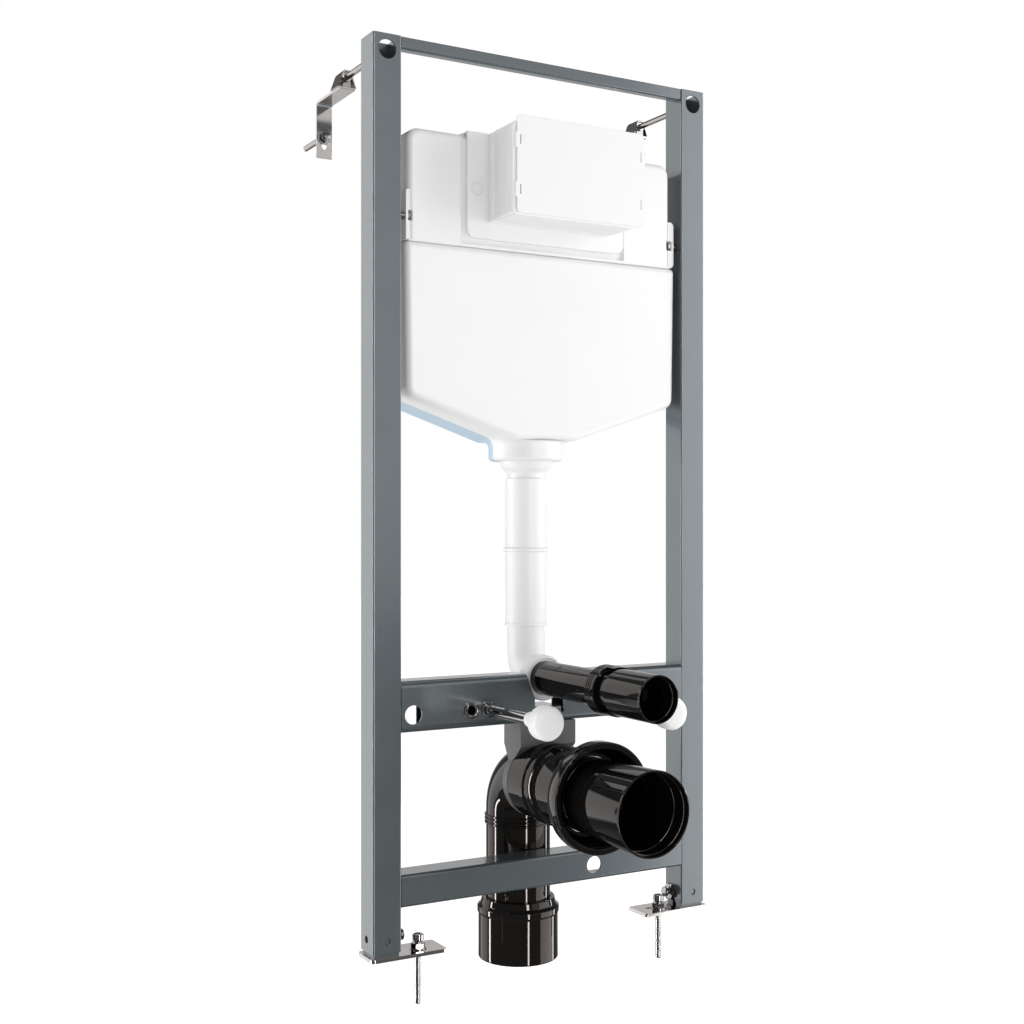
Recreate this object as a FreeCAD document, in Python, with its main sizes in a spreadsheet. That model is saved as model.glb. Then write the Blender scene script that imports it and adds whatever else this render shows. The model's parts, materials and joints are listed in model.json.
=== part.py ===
import FreeCAD, Part
import math
import os
import Sketcher

# Wall hung toilet frame: a painted steel frame with telescopic feet, wall brackets, a slim
# plastic cistern with its front access box, the flush pipe, the soil bend and the pan fittings.
# Origin: underside of the left foot plate, below the left post. x right, y to the wall, z up, mm.

doc = FreeCAD.newDocument("wall_hung_toilet_frame")
sheet = doc.addObject("Spreadsheet::Sheet", "dims")
V = FreeCAD.Vector

SIZES = {
    "frame_wide": 500, "post_side": 38, "post_wall": 2, "post_bottom": 8.5, "post_top": 1131,
    "post_edge": 2, "leg_play": 0.3, "leg_wall": 2, "leg_top": 255, "plate_thick": 4.5,
    "plate_outer": 22, "plate_inner": 80, "plate_front": 23, "plate_back": 21, "fit_gap": 0.3,
    "anchor_off": 48, "anchor_y": -5, "anchor_rad": 4.05, "anchor_neck": 4.7, "anchor_deep": 63.5,
    "lock_y": 5, "lock_z": 22.5, "lock_rad": 4, "top_tube": 15, "top_set": 1.7, "low_bottom": 61.5,
    "low_high": 40, "low_deep": 36, "mid_bottom": 275.5, "mid_high": 63.5, "mid_sheet": 2.5,
    "mid_deep": 34, "notch_half": 22.2, "notch_rise": 11.5, "shelf_half": 17.5, "shelf_rise": 20,
    "shelf_back": 29, "dimple": 1.2, "stud_gap": 180, "spare_gap": 230, "stud_rise": 22, "stud_rad": 6,
    "sleeve_rad": 7.5, "stud_tip": -167, "cap_back": -121, "cap_rad": 20.8, "cap_long": 50,
    "wall_drop": 19, "rod_rad": 4, "wall_y": 187, "strap_wide": 22, "strap_thick": 3,
    "strap_drop": 13.5, "strap_long": 74.5, "strap_front": 105, "screw_rise": 28.5, "screw_long": 67,
    "tank_front": -12, "tank_split": 42.5, "tank_back": 92, "tank_gap": 9, "tank_right_gap": 5,
    "step_left": 3.5, "step_right": 9.5, "lug_left": 2.5, "lug_right": 7, "lug_high": 62.7,
    "tank_drop": 106, "upper_high": 141, "lower_high": 190, "taper_high": 52, "tank_skin": 3,
    "foot_half": 46, "recess_deep": 4, "recess_left": 126.5, "recess_right": 121, "base_thick": 6,
    "box_left": 88, "box_right": 91, "lid_left": 84.5, "lid_right": 105, "box_front": -82,
    "box_foot": 109, "box_head": 3, "lid_head": 13, "lid_thick": 2, "collar_rad": 50, "collar_high": 26,
    "nut_rad": 36.3, "nut_high": 26, "flush_rad": 27.5, "elbow_rad": 25.2, "link_rad": 22.2,
    "link_wall": 2.2, "flush_rise": 33.5, "elbow_turn": 32, "elbow_run": 18, "joint_rise": 66,
    "joint_deep": 34, "flush_tip": -261, "flush_out": 28.5, "ring_rad": 30.7, "ring_back": -149,
    "ring_rim": 19, "ring_long": 34, "soil_y": 63.3, "soil_rad": 43.4, "soil_wall": 3,
    "soil_drop": 100.5, "soil_turn": 46, "joint_drop": 21, "soil_foot": -50, "socket_high": 60,
    "socket_rad": 53.8, "socket_wall": 4, "bead_rad": 50.5, "sleeve_back": -26, "sleeve_out": 52,
    "sleeve_thin": 47, "flange_rad": 69, "flange_long": 36, "flange_back": -110, "spigot_back": -128,
    "spigot_bore": 43, "spigot_wall": 2.5, "pan_rad": 51.3, "pan_tip": -252, "clamp_half": 41.5,
    "clamp_front": -16, "clamp_back": 28, "clamp_high": 30.5, "clamp_rad": 50,
}


class Size:
    # A length that keeps its number together with the sheet expression it comes from.
    def __init__(self, value, text):
        self.value = value
        self.text = text

    def __add__(self, other):
        other = size(other)
        return Size(self.value + other.value, "(%s + %s)" % (self.text, other.text))

    def __radd__(self, other):
        return size(other) + self

    def __sub__(self, other):
        other = size(other)
        return Size(self.value - other.value, "(%s - %s)" % (self.text, other.text))

    def __rsub__(self, other):
        return size(other) - self

    def __mul__(self, factor):
        return Size(self.value * factor, "(%s * %s)" % (self.text, factor))

    __rmul__ = __mul__

    def __truediv__(self, factor):
        return Size(self.value / factor, "(%s / %s)" % (self.text, factor))

    def __neg__(self):
        return Size(-self.value, "(0 - %s)" % self.text)


def size(length):
    if isinstance(length, Size):
        return length
    return Size(float(length), "(%s)" % length)


def read_sheet():
    for row, (alias, value) in enumerate(SIZES.items(), 1):
        sheet.set("A%d" % row, alias)
        sheet.set("B%d" % row, str(value))
        sheet.setAlias("B%d" % row, alias)
    doc.recompute()
    return {alias: Size(float(value), "dims.%s" % alias) for alias, value in SIZES.items()}


d = read_sheet()
half = d["post_side"] / 2
pitch = d["frame_wide"] - d["post_side"]
mid_x = pitch / 2
tank_half = (pitch - d["post_side"] - d["tank_gap"] - d["tank_right_gap"]) / 2
tank_x = half + d["tank_gap"] + tank_half
upper_left = tank_x - tank_half + d["step_left"]
upper_right = tank_x + tank_half - d["step_right"]
upper_half = (upper_right - upper_left) / 2
upper_x = upper_left + upper_half
tank_top = d["post_top"] - d["tank_drop"]
tank_seam = tank_top - d["upper_high"]
tank_corner = tank_seam - d["lower_high"]
tank_foot = tank_corner - d["taper_high"]
bolt_y = d["tank_front"] + 7.5
bolt_z = tank_seam + 30.5
wall_z = d["post_top"] - d["wall_drop"]
strap_top = wall_z - d["strap_drop"]
screw_z = strap_top - d["strap_long"] + d["screw_rise"]
stud_z = d["mid_bottom"] + d["stud_rise"]
flush_z = stud_z + d["flush_rise"]
soil_z = stud_z - d["soil_drop"]
flush_y = d["tank_split"]
# Each side gives its name, the x of its post and the sign that points inward.
SIDES = (("left", size(0), 1), ("right", pitch, -1))
FACING = FreeCAD.Rotation(V(1, 0, 0), 90)
UPRIGHT = FreeCAD.Rotation()


def place(item, x, y, z, turn=UPRIGHT):
    item.Placement = FreeCAD.Placement(V(size(x).value, size(y).value, size(z).value), turn)
    for axis, length in (("x", x), ("y", y), ("z", z)):
        item.setExpression("Placement.Base." + axis, size(length).text)


def finish(item, name):
    item.Label = name
    nodes.append(item)
    return item


nodes = []


# Sketches and solids made from them

def new_body(name, x=0, y=0, z=0, turn=UPRIGHT):
    body = doc.addObject("PartDesign::Body", name)
    place(body, x, y, z, turn)
    return body


def new_sketch(body, name, role, shift=0):
    sketch = body.newObject("Sketcher::SketchObject", name)
    plane = [item for item in body.Origin.OriginFeatures if item.Role == role][0]
    sketch.AttachmentSupport = [(plane, "")]
    sketch.MapMode = "FlatFace"
    sketch.setExpression("AttachmentOffset.Base.z", size(shift).text)
    return sketch


def bind(sketch, constraint, length):
    index = sketch.addConstraint(constraint)
    sketch.setExpression("Constraints[%d]" % index, length.text)


def pin(sketch, shape, end, x, y):
    x = size(x)
    y = size(y)
    bind(sketch, Sketcher.Constraint("DistanceX", -1, 1, shape, end, x.value), x)
    bind(sketch, Sketcher.Constraint("DistanceY", -1, 1, shape, end, y.value), y)


def polygon(sketch, corners):
    first = sketch.GeometryCount
    count = len(corners)
    spots = [V(size(x).value, size(y).value, 0) for x, y in corners]
    for i in range(count):
        sketch.addGeometry(Part.LineSegment(spots[i], spots[(i + 1) % count]), False)
    for i in range(count):
        after = first + (i + 1) % count
        sketch.addConstraint(Sketcher.Constraint("Coincident", first + i, 2, after, 1))
    for i, (x, y) in enumerate(corners):
        pin(sketch, first + i, 1, x, y)


def rectangle(sketch, x1, y1, x2, y2):
    polygon(sketch, [(x1, y1), (x2, y1), (x2, y2), (x1, y2)])


def six_sides(sketch, half_flats):
    # A hexagon about the sketch's origin, two of its flats square to x.
    long = half_flats * (2 / math.sqrt(3))
    short = half_flats / math.sqrt(3)
    polygon(sketch, [(half_flats, -short), (half_flats, short), (0, long),
                     (-half_flats, short), (-half_flats, -short), (0, -long)])


def circle(sketch, x, y, radius):
    radius = size(radius)
    centre = V(size(x).value, size(y).value, 0)
    ring = sketch.addGeometry(Part.Circle(centre, V(0, 0, 1), radius.value), False)
    pin(sketch, ring, 3, x, y)
    bind(sketch, Sketcher.Constraint("Radius", ring, radius.value), radius)


def pad(body, sketch, name, length, back=False):
    feature = body.newObject("PartDesign::Pad", name)
    feature.Profile = sketch
    feature.setExpression("Length", size(length).text)
    feature.Length = size(length).value
    feature.Reversed = back
    return feature


def pocket(body, sketch, name, length, back=False):
    feature = body.newObject("PartDesign::Pocket", name)
    feature.Profile = sketch
    feature.Type = 0
    feature.setExpression("Length", size(length).text)
    feature.Length = size(length).value
    feature.Reversed = back
    return feature


def revolve(body, sketch, name):
    feature = body.newObject("PartDesign::Revolution", name)
    feature.Profile = sketch
    feature.ReferenceAxis = (sketch, ["V_Axis"])
    feature.Angle = 360
    return feature


def soften(body, name, radius, picks):
    # Rounds the edges whose middle point passes the test.
    doc.recompute()
    base = body.Tip
    found = ["Edge%d" % (i + 1) for i, edge in enumerate(base.Shape.Edges) if picks(middle(edge))]
    feature = body.newObject("PartDesign::Fillet", name)
    feature.Base = (base, found)
    feature.setExpression("Radius", size(radius).text)
    feature.Radius = size(radius).value
    return feature


def middle(edge):
    return edge.valueAt((edge.FirstParameter + edge.LastParameter) / 2)


def near(a, b):
    return abs(a - size(b).value) < 0.05


def turned(name, profile, x, y, z, turn=UPRIGHT):
    # A round piece: the profile lists radius and height along its own axis.
    body = new_body(name, x, y, z, turn)
    sketch = new_sketch(body, name + "_profile", "XZ_Plane")
    polygon(sketch, profile)
    revolve(body, sketch, name + "_turn")
    return finish(body, name)


# Plain solids joined by booleans

def block(name, x1, y1, z1, x2, y2, z2):
    item = doc.addObject("Part::Box", name)
    place(item, x1, y1, z1)
    for field, length in (("Length", size(x2) - x1), ("Width", size(y2) - y1), ("Height", size(z2) - z1)):
        item.setExpression(field, length.text)
    return item


def rod(name, radius, length, x, y, z, turn=UPRIGHT):
    item = doc.addObject("Part::Cylinder", name)
    item.setExpression("Radius", size(radius).text)
    item.setExpression("Height", size(length).text)
    place(item, x, y, z, turn)
    return item


def hexagon(name, flats, length, x, y, z, turn=UPRIGHT):
    item = doc.addObject("Part::Prism", name)
    item.Polygon = 6
    item.setExpression("Circumradius", (size(flats) / math.sqrt(3)).text)
    item.setExpression("Height", size(length).text)
    place(item, x, y, z, turn)
    return item


def fuse(name, pieces):
    item = doc.addObject("Part::MultiFuse", name)
    item.Shapes = pieces
    return item


# Steel frame

def square_tube(body, name, outer, wall, bottom, top):
    sketch = new_sketch(body, name + "_section", "XY_Plane", bottom)
    inner = size(outer) - wall
    rectangle(sketch, -outer, -outer, outer, outer)
    rectangle(sketch, -inner, -inner, inner, inner)
    pad(body, sketch, name + "_length", size(top) - bottom)


def post(side, x, inward):
    name = side + "_post"
    body = new_body(name, x)
    square_tube(body, name, half, d["post_wall"], d["post_bottom"], d["post_top"])
    corner = half.value
    soften(body, name + "_edges", d["post_edge"],
           lambda p: near(abs(p.x), corner) and near(abs(p.y), corner))
    front = new_sketch(body, name + "_front_holes", "XZ_Plane", half)
    circle(front, 0, wall_z, d["rod_rad"] * 3)
    circle(front, 0, d["lock_z"] + 1.3, 4.6)
    pocket(body, front, name + "_front_cut", d["post_wall"] + 1)
    rear = new_sketch(body, name + "_rear_hole", "XZ_Plane", -half)
    circle(rear, 0, wall_z, d["rod_rad"] + d["fit_gap"])
    pocket(body, rear, name + "_rear_cut", d["post_wall"] + 1, True)
    outer = new_sketch(body, name + "_outer_hole", "YZ_Plane", -inward * half)
    circle(outer, 0.8, d["lock_z"] + 1.4, 4.6)
    pocket(body, outer, name + "_outer_cut", d["post_wall"] + 1, inward > 0)
    inner = new_sketch(body, name + "_inner_hole", "YZ_Plane", inward * half)
    circle(inner, d["lock_y"], d["lock_z"], d["lock_rad"] + d["fit_gap"])
    rectangle(inner, -4, d["post_bottom"] - 1, 5.5, d["post_bottom"] + 4.5)
    pocket(body, inner, name + "_inner_cut", d["post_wall"] + 1, inward < 0)
    return finish(body, name)


def leg(side, x, inward):
    name = side + "_leg"
    body = new_body(name, x)
    outer = half - d["post_wall"] - d["leg_play"]
    square_tube(body, name, outer, d["leg_wall"], d["plate_thick"], d["leg_top"])
    slot = new_sketch(body, name + "_slot", "YZ_Plane", inward * outer)
    rectangle(slot, -3.2, d["plate_thick"] - 1, 4.7, d["post_bottom"] + 5.5)
    pocket(body, slot, name + "_slot_cut", d["leg_wall"] + 1, inward < 0)
    return finish(body, name)


def foot_plate(side, x, inward):
    name = side + "_foot_plate"
    body = new_body(name, x)
    sketch = new_sketch(body, name + "_outline", "XY_Plane")
    rectangle(sketch, -inward * d["plate_outer"], -d["plate_front"],
              inward * d["plate_inner"], d["plate_back"])
    circle(sketch, inward * d["anchor_off"], d["anchor_y"], d["anchor_neck"] + 0.5)
    pad(body, sketch, name + "_plate", d["plate_thick"])
    middle_z = d["plate_thick"].value / 2
    hole_x = d["anchor_off"].value
    soften(body, name + "_corners", 5,
           lambda p: near(p.z, middle_z) and abs(abs(p.x) - hole_x) > 8
           and (near(p.y, -d["plate_front"]) or near(p.y, d["plate_back"])))
    return finish(body, name)


def floor_anchor(side, x, inward):
    # The shank is thinner below the plate, so that a sleeve or a drilled hole meets it there only.
    name = side + "_floor_anchor"
    shank = d["anchor_rad"]
    neck = d["anchor_neck"]
    top = d["plate_thick"]
    body = new_body(name, x + inward * d["anchor_off"], d["anchor_y"])
    sketch = new_sketch(body, name + "_profile", "XZ_Plane")
    polygon(sketch, [(0, -d["anchor_deep"]), (shank, -d["anchor_deep"]), (shank, 1), (neck, 1), (neck, top),
                     (neck * 2.2, top), (neck * 2.2, top + 1.8), (neck, top + 1.8), (neck, top + 16),
                     (neck * 1.45, top + 16), (neck * 1.1, top + 18.5), (0, top + 18.5)])
    revolve(body, sketch, name + "_turn")
    nut = new_sketch(body, name + "_nut_outline", "XY_Plane", top + 1.8)
    six_sides(nut, neck * 1.6)
    pad(body, nut, name + "_nut", 5.7)
    head = new_sketch(body, name + "_head_outline", "XY_Plane", top + 9.5)
    six_sides(head, neck * 1.4)
    pad(body, head, name + "_head", 7)
    return finish(body, name)


def lock_bolt(side, x, inward):
    name = side + "_lock_bolt"
    turn = FreeCAD.Rotation(V(0, 1, 0), 90 * inward)
    y = d["lock_y"]
    z = d["lock_z"]
    face = x + inward * half
    tip = x + inward * (half - d["post_wall"])
    pieces = [rod(name + "_shaft", d["lock_rad"], d["post_wall"] + 11, tip, y, z, turn)]
    pieces.append(hexagon(name + "_nut", d["lock_rad"] * 4.75, 5, face, y, z, turn))
    pieces.append(hexagon(name + "_head", d["lock_rad"] * 3.5, 4, face + inward * 9, y, z, turn))
    return finish(fuse(name, pieces), name)


def top_rail():
    name = "top_rail"
    body = new_body(name)
    sketch = new_sketch(body, name + "_section", "YZ_Plane", half)
    front = d["top_set"] - half
    low = d["post_top"] - d["top_tube"]
    rectangle(sketch, front, low, front + d["top_tube"], d["post_top"])
    rectangle(sketch, front + 1.5, low + 1.5, front + d["top_tube"] - 1.5, d["post_top"] - 1.5)
    pad(body, sketch, name + "_length", pitch - d["post_side"])
    return finish(body, name)


def channel(body, name, low, high, deep, skin, fold):
    # A folded sheet section, open towards the wall.
    sketch = new_sketch(body, name + "_section", "YZ_Plane", half)
    back = deep - half
    web = skin - half
    polygon(sketch, [(-half, low), (back, low), (back, low + skin), (web, low + skin),
                     (web, high - skin), (back, high - skin), (back, high), (-half, high)])
    pad(body, sketch, name + "_length", pitch - d["post_side"])
    edge = -half.value
    soften(body, name + "_folds", fold, lambda p: near(p.y, edge) and (near(p.z, low) or near(p.z, high)))


def lower_rail():
    name = "lower_rail"
    body = new_body(name)
    low = d["low_bottom"]
    channel(body, name, low, low + d["low_high"], d["low_deep"], d["mid_sheet"], 4)
    hole = new_sketch(body, name + "_hole", "XZ_Plane", half)
    circle(hole, mid_x + mid_x * 0.2987, low + d["low_high"] / 2 - 0.5, 11.3)
    pocket(body, hole, name + "_hole_cut", d["mid_sheet"] + 1)
    return finish(body, name)


def notch_edge(rise):
    # Half the notch outline, from its floor to above the rail.
    half_wide = d["notch_half"]
    return [(half_wide, 0), (half_wide, rise * 0.39), (half_wide * 1.14, rise * 0.53),
            (half_wide * 1.285, rise * 0.665), (half_wide * 1.39, rise * 0.825),
            (half_wide * 1.495, rise * 0.943), (half_wide * 1.51, rise + 1)]


def notch_outline(sketch, base, rise):
    edge = notch_edge(rise)
    right = [(mid_x + x, base + z) for x, z in edge]
    left = [(mid_x - x, base + z) for x, z in reversed(edge)]
    polygon(sketch, right + left)


def mid_rail():
    name = "mid_rail"
    body = new_body(name)
    low = d["mid_bottom"]
    high = low + d["mid_high"]
    skin = d["mid_sheet"]
    channel(body, name, low, high, d["mid_deep"], skin, 8)
    rear = new_sketch(body, name + "_stiffener", "XZ_Plane", half - d["mid_deep"] + 1.7)
    rectangle(rear, mid_x - 177, low + skin / 2, mid_x + 177, high - skin / 2)
    pad(body, rear, name + "_stiffener_sheet", 1.5)
    first = mid_x - d["stud_gap"] / 2 + 6.5
    last = mid_x - d["spare_gap"] / 2 - 5
    reach = 13.7
    ends = new_sketch(body, name + "_dimple_ends", "XZ_Plane", half)
    spans = new_sketch(body, name + "_dimple_spans", "XZ_Plane", half)
    for flip in (1, -1):
        near_x = mid_x + flip * (first - mid_x)
        far_x = mid_x + flip * (last - mid_x)
        circle(ends, near_x, stud_z, reach)
        circle(ends, far_x, stud_z, reach)
        rectangle(spans, near_x, stud_z - reach, far_x, stud_z + reach)
    pocket(body, ends, name + "_dimple_end_cut", d["dimple"])
    pocket(body, spans, name + "_dimple_span_cut", d["dimple"])
    holes = new_sketch(body, name + "_holes", "XZ_Plane", half)
    for flip in (-1, 1):
        circle(holes, mid_x + flip * (mid_x - half - 16.5), stud_z, 11.8)
        circle(holes, mid_x + flip * d["stud_gap"] / 2, stud_z, d["stud_rad"] + d["fit_gap"])
        circle(holes, mid_x + flip * d["spare_gap"] / 2, stud_z, d["stud_rad"] + d["fit_gap"])
    pocket(body, holes, name + "_hole_cut", skin + 1)
    base = low + d["notch_rise"]
    notch = new_sketch(body, name + "_notch", "XZ_Plane", half + 1)
    notch_outline(notch, base, high - base)
    pocket(body, notch, name + "_notch_cut", d["mid_deep"] + 2)
    wide = d["shelf_half"]
    top = low + d["shelf_rise"]
    shelf = new_sketch(body, name + "_shelf_section", "YZ_Plane", mid_x - wide)
    polygon(shelf, [(-half, base - 1), (-half, top - 3.5), (1 - half, top - 1), (3.5 - half, top),
                    (d["shelf_back"], top), (d["shelf_back"], top - skin), (skin - half, top - skin),
                    (skin - half, base - 1)])
    pad(body, shelf, name + "_shelf", wide * 2)
    tongue = new_sketch(body, name + "_tongue_slot", "XY_Plane", low - 1)
    rectangle(tongue, mid_x - 18.5, d["clamp_front"] - d["fit_gap"],
              mid_x + 18.5, d["clamp_front"] + 8 + d["fit_gap"])
    pocket(body, tongue, name + "_tongue_cut", skin + 1.1, True)
    return finish(body, name)


# Wall brackets

def wall_rod(side, x):
    name = side + "_wall_rod"
    start = half - d["post_wall"]
    tip = d["strap_front"] + 30
    pieces = [rod(name + "_bar", d["rod_rad"], tip - start, x, tip, wall_z, FACING)]
    pieces.append(hexagon(name + "_nut", d["rod_rad"] * 3.25, 5, x, half + 5, wall_z, FACING))
    front = d["strap_front"]
    pieces.append(block(name + "_saddle", x - 5.5, front + 3, strap_top, x + 5.5, front + 25, wall_z))
    return finish(fuse(name, pieces), name)


def wall_clip(side, x):
    # A folded sheet that straddles the rod and stands on the strap.
    name = side + "_wall_clip"
    body = new_body(name, x)
    front = d["strap_front"]
    sketch = new_sketch(body, name + "_section", "XZ_Plane", -(front + 28))
    foot = d["strap_wide"] / 2 + 2
    head = size(5)
    rise = d["strap_drop"] + 11.5
    low = strap_top
    polygon(sketch, [(-foot, low), (-head, low + rise), (head, low + rise), (foot, low),
                     (foot - 2.1, low), (head - 1.4, low + rise - 2), (1.4 - head, low + rise - 2),
                     (2.1 - foot, low)])
    pad(body, sketch, name + "_sheet", 28)
    return finish(body, name)


def wall_strap(side, x):
    name = side + "_wall_strap"
    body = new_body(name, x)
    wide = d["strap_wide"] / 2
    thick = d["strap_thick"]
    back = d["wall_y"]
    front = d["strap_front"]
    top = strap_top
    foot = strap_top - d["strap_long"]
    sketch = new_sketch(body, name + "_section", "YZ_Plane", -wide)
    polygon(sketch, [(front, top - thick), (back - thick, top - thick), (back - thick, foot),
                     (back, foot), (back, top), (front, top)])
    pad(body, sketch, name + "_length", d["strap_wide"])
    inner_y = (back - thick).value
    inner_z = (top - thick).value
    soften(body, name + "_inner_bend", thick - 1, lambda p: near(p.y, inner_y) and near(p.z, inner_z))
    soften(body, name + "_outer_bend", thick + 2, lambda p: near(p.y, back) and near(p.z, top))
    slot = new_sketch(body, name + "_slot", "XZ_Plane", thick - back)
    circle(slot, 0, screw_z, d["rod_rad"] + 1)
    circle(slot, 0, screw_z - 13, d["rod_rad"])
    pocket(body, slot, name + "_slot_cut", thick + 1)
    return finish(body, name)


def wall_screw(side, x):
    name = side + "_wall_screw"
    face = d["wall_y"] - d["strap_thick"]
    tip = d["wall_y"] + d["screw_long"]
    shank = d["rod_rad"]
    pieces = [rod(name + "_shaft", shank, tip - face + 3, x, tip, screw_z, FACING)]
    pieces.append(rod(name + "_washer", shank * 2.575, 1.5, x, face, screw_z, FACING))
    pieces.append(hexagon(name + "_head", shank * 3.25, 6, x, face - 1.5, screw_z, FACING))
    return finish(fuse(name, pieces), name)


# Cistern

def tank_outline(sketch):
    # The lower shell from the front: a narrow foot, sloping sides and nearly upright flanks.
    foot = tank_foot
    narrow = d["foot_half"]
    polygon(sketch, [(mid_x - narrow, foot), (mid_x + narrow, foot), (tank_x + tank_half - 3, tank_corner),
                     (tank_x + tank_half, tank_seam), (tank_x - tank_half, tank_seam),
                     (tank_x + 3 - tank_half, tank_corner)])


def shell_corners(body, name):
    # Rounds the two lower corners of a shell.
    wide = (tank_half - 3).value
    corner = tank_corner.value
    centre = tank_x.value
    soften(body, name, 15, lambda p: near(abs(p.x - centre), wide) and near(p.z, corner))


def top_corners(body, name):
    top = tank_top.value
    centre = upper_x.value
    wide = upper_half.value
    soften(body, name + "_top_corners", 16, lambda p: near(p.z, top) and near(abs(p.x - centre), wide))


def cistern_lower():
    name = "cistern_lower"
    body = new_body(name)
    skin = d["tank_skin"]
    deep = d["tank_split"] - d["tank_front"]
    outer = new_sketch(body, name + "_outline", "XZ_Plane", -d["tank_front"])
    tank_outline(outer)
    pad(body, outer, name + "_block", deep, True)
    shell_corners(body, name + "_corners")
    centre = tank_x.value
    wide = tank_half.value
    seam = tank_seam.value
    soften(body, name + "_shoulders", 6, lambda p: near(p.z, seam) and near(abs(p.x - centre), wide))
    front = d["tank_front"].value
    soften(body, name + "_front_edges", skin * 2.9,
           lambda p: near(p.y, front)
           and (p.z < seam - 5 or (p.z < seam - 0.5 and abs(p.x - centre) > wide - 5)))
    inner = new_sketch(body, name + "_hollow", "XZ_Plane", -d["tank_split"])
    foot = d["foot_half"] - skin * 0.3
    corner = tank_corner + skin * 0.8
    inside = tank_half - skin
    polygon(inner, [(mid_x - foot, tank_foot + skin), (mid_x + foot, tank_foot + skin),
                    (tank_x + inside - 10, corner - 1), (tank_x + inside - 2.8, corner + 9),
                    (tank_x + inside, tank_seam - 8), (tank_x + inside - 5, tank_seam - skin),
                    (tank_x - inside + 5, tank_seam - skin), (tank_x - inside, tank_seam - 8),
                    (tank_x - inside + 2.8, corner + 9), (tank_x - inside + 10, corner - 1)])
    pocket(body, inner, name + "_hollow_cut", deep - skin, True)
    return finish(body, name)


def cistern_back():
    name = "cistern_back"
    body = new_body(name)
    skin = d["tank_skin"]
    deep = d["tank_back"] - d["tank_split"]
    outer = new_sketch(body, name + "_outline", "XZ_Plane", -d["tank_split"])
    tank_outline(outer)
    pad(body, outer, name + "_block", deep, True)
    shell_corners(body, name + "_corners")
    upper = new_sketch(body, name + "_upper", "XZ_Plane", -d["tank_split"])
    rectangle(upper, upper_left, tank_seam, upper_right, tank_top)
    pad(body, upper, name + "_upper_block", deep, True)
    top_corners(body, name)
    inner = new_sketch(body, name + "_hollow", "XZ_Plane", -d["tank_split"])
    inside = upper_half - skin
    foot = d["foot_half"] - skin * 0.3
    corner = tank_corner + skin * 0.8
    polygon(inner, [(mid_x - foot, tank_foot + skin), (mid_x + foot, tank_foot + skin),
                    (upper_x + inside - 8, corner), (upper_x + inside, corner + 12),
                    (upper_x + inside, tank_top - 10), (upper_x + inside - 8, tank_top - skin),
                    (upper_x - inside + 8, tank_top - skin), (upper_x - inside, tank_top - 10),
                    (upper_x - inside, corner + 12), (upper_x - inside + 8, corner)])
    pocket(body, inner, name + "_hollow_cut", deep - skin)
    return finish(body, name)


def cistern_upper():
    # Two shoulders beside a sunk middle that carries the access plate, with a lug on each side.
    name = "cistern_upper"
    body = new_body(name)
    skin = d["tank_skin"]
    deep = d["tank_split"] - d["tank_front"]
    sunk = d["tank_front"] + d["recess_deep"]
    low = tank_seam + d["fit_gap"]
    outer = new_sketch(body, name + "_outline", "XZ_Plane", -d["tank_front"])
    rectangle(outer, upper_left, low, upper_right, tank_top)
    pad(body, outer, name + "_block", deep, True)
    top_corners(body, name)
    front = d["tank_front"].value
    low_z = low.value
    soften(body, name + "_front_edges", skin * 2.9, lambda p: near(p.y, front) and p.z > low_z + 1)
    inner = new_sketch(body, name + "_hollow", "XZ_Plane", -d["tank_split"])
    rectangle(inner, upper_left + skin, low + skin, upper_right - skin, tank_top - skin)
    pocket(body, inner, name + "_hollow_cut", d["tank_split"] - sunk - skin, True)
    recess = new_sketch(body, name + "_recess", "XZ_Plane", -d["tank_front"])
    rectangle(recess, mid_x - d["recess_left"], low + 2.7, mid_x + d["recess_right"], tank_top + 1)
    pocket(body, recess, name + "_recess_cut", d["recess_deep"])
    lugs = new_sketch(body, name + "_lug_outline", "XZ_Plane", -d["tank_front"] - 1.5)
    boss = new_sketch(body, name + "_boss_outline", "XZ_Plane", -d["tank_split"])
    slots = new_sketch(body, name + "_slot_outline", "XZ_Plane", -d["tank_front"])
    head = low + d["lug_high"]
    ends = []
    for edge, flip, reach in ((upper_left, -1, d["lug_left"]), (upper_right, 1, d["lug_right"])):
        tip = edge + flip * reach
        ends.append(tip.value)
        rectangle(lugs, edge - flip * 2.9, low, tip, head)
        rectangle(boss, edge - flip * 1, bolt_z - 10, edge - flip * 9, bolt_z + 10)
        rectangle(slots, edge - flip * 6, bolt_z - 6.5, tip - flip * 3, bolt_z + 6.5)
    pad(body, boss, name + "_boss_block", deep - 6)
    pad(body, lugs, name + "_lug_block", deep - 1.5, True)
    head_z = head.value
    soften(body, name + "_left_corners", d["lug_left"] - 0.5,
           lambda p: near(p.x, ends[0]) and (near(p.z, low_z) or near(p.z, head_z)))
    soften(body, name + "_right_corners", d["lug_right"] - 1,
           lambda p: near(p.x, ends[1]) and (near(p.z, low_z) or near(p.z, head_z)))
    pocket(body, slots, name + "_slot_cut", 15)
    left_hole = new_sketch(body, name + "_left_hole", "YZ_Plane", upper_left + 2)
    circle(left_hole, bolt_y, bolt_z, 3.3)
    pocket(body, left_hole, name + "_left_bolt_cut", d["lug_left"] + 4)
    right_hole = new_sketch(body, name + "_right_hole", "YZ_Plane", upper_right - 2)
    circle(right_hole, bolt_y, bolt_z, 3.3)
    pocket(body, right_hole, name + "_right_bolt_cut", d["lug_right"] + 4, True)
    return finish(body, name)


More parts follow.
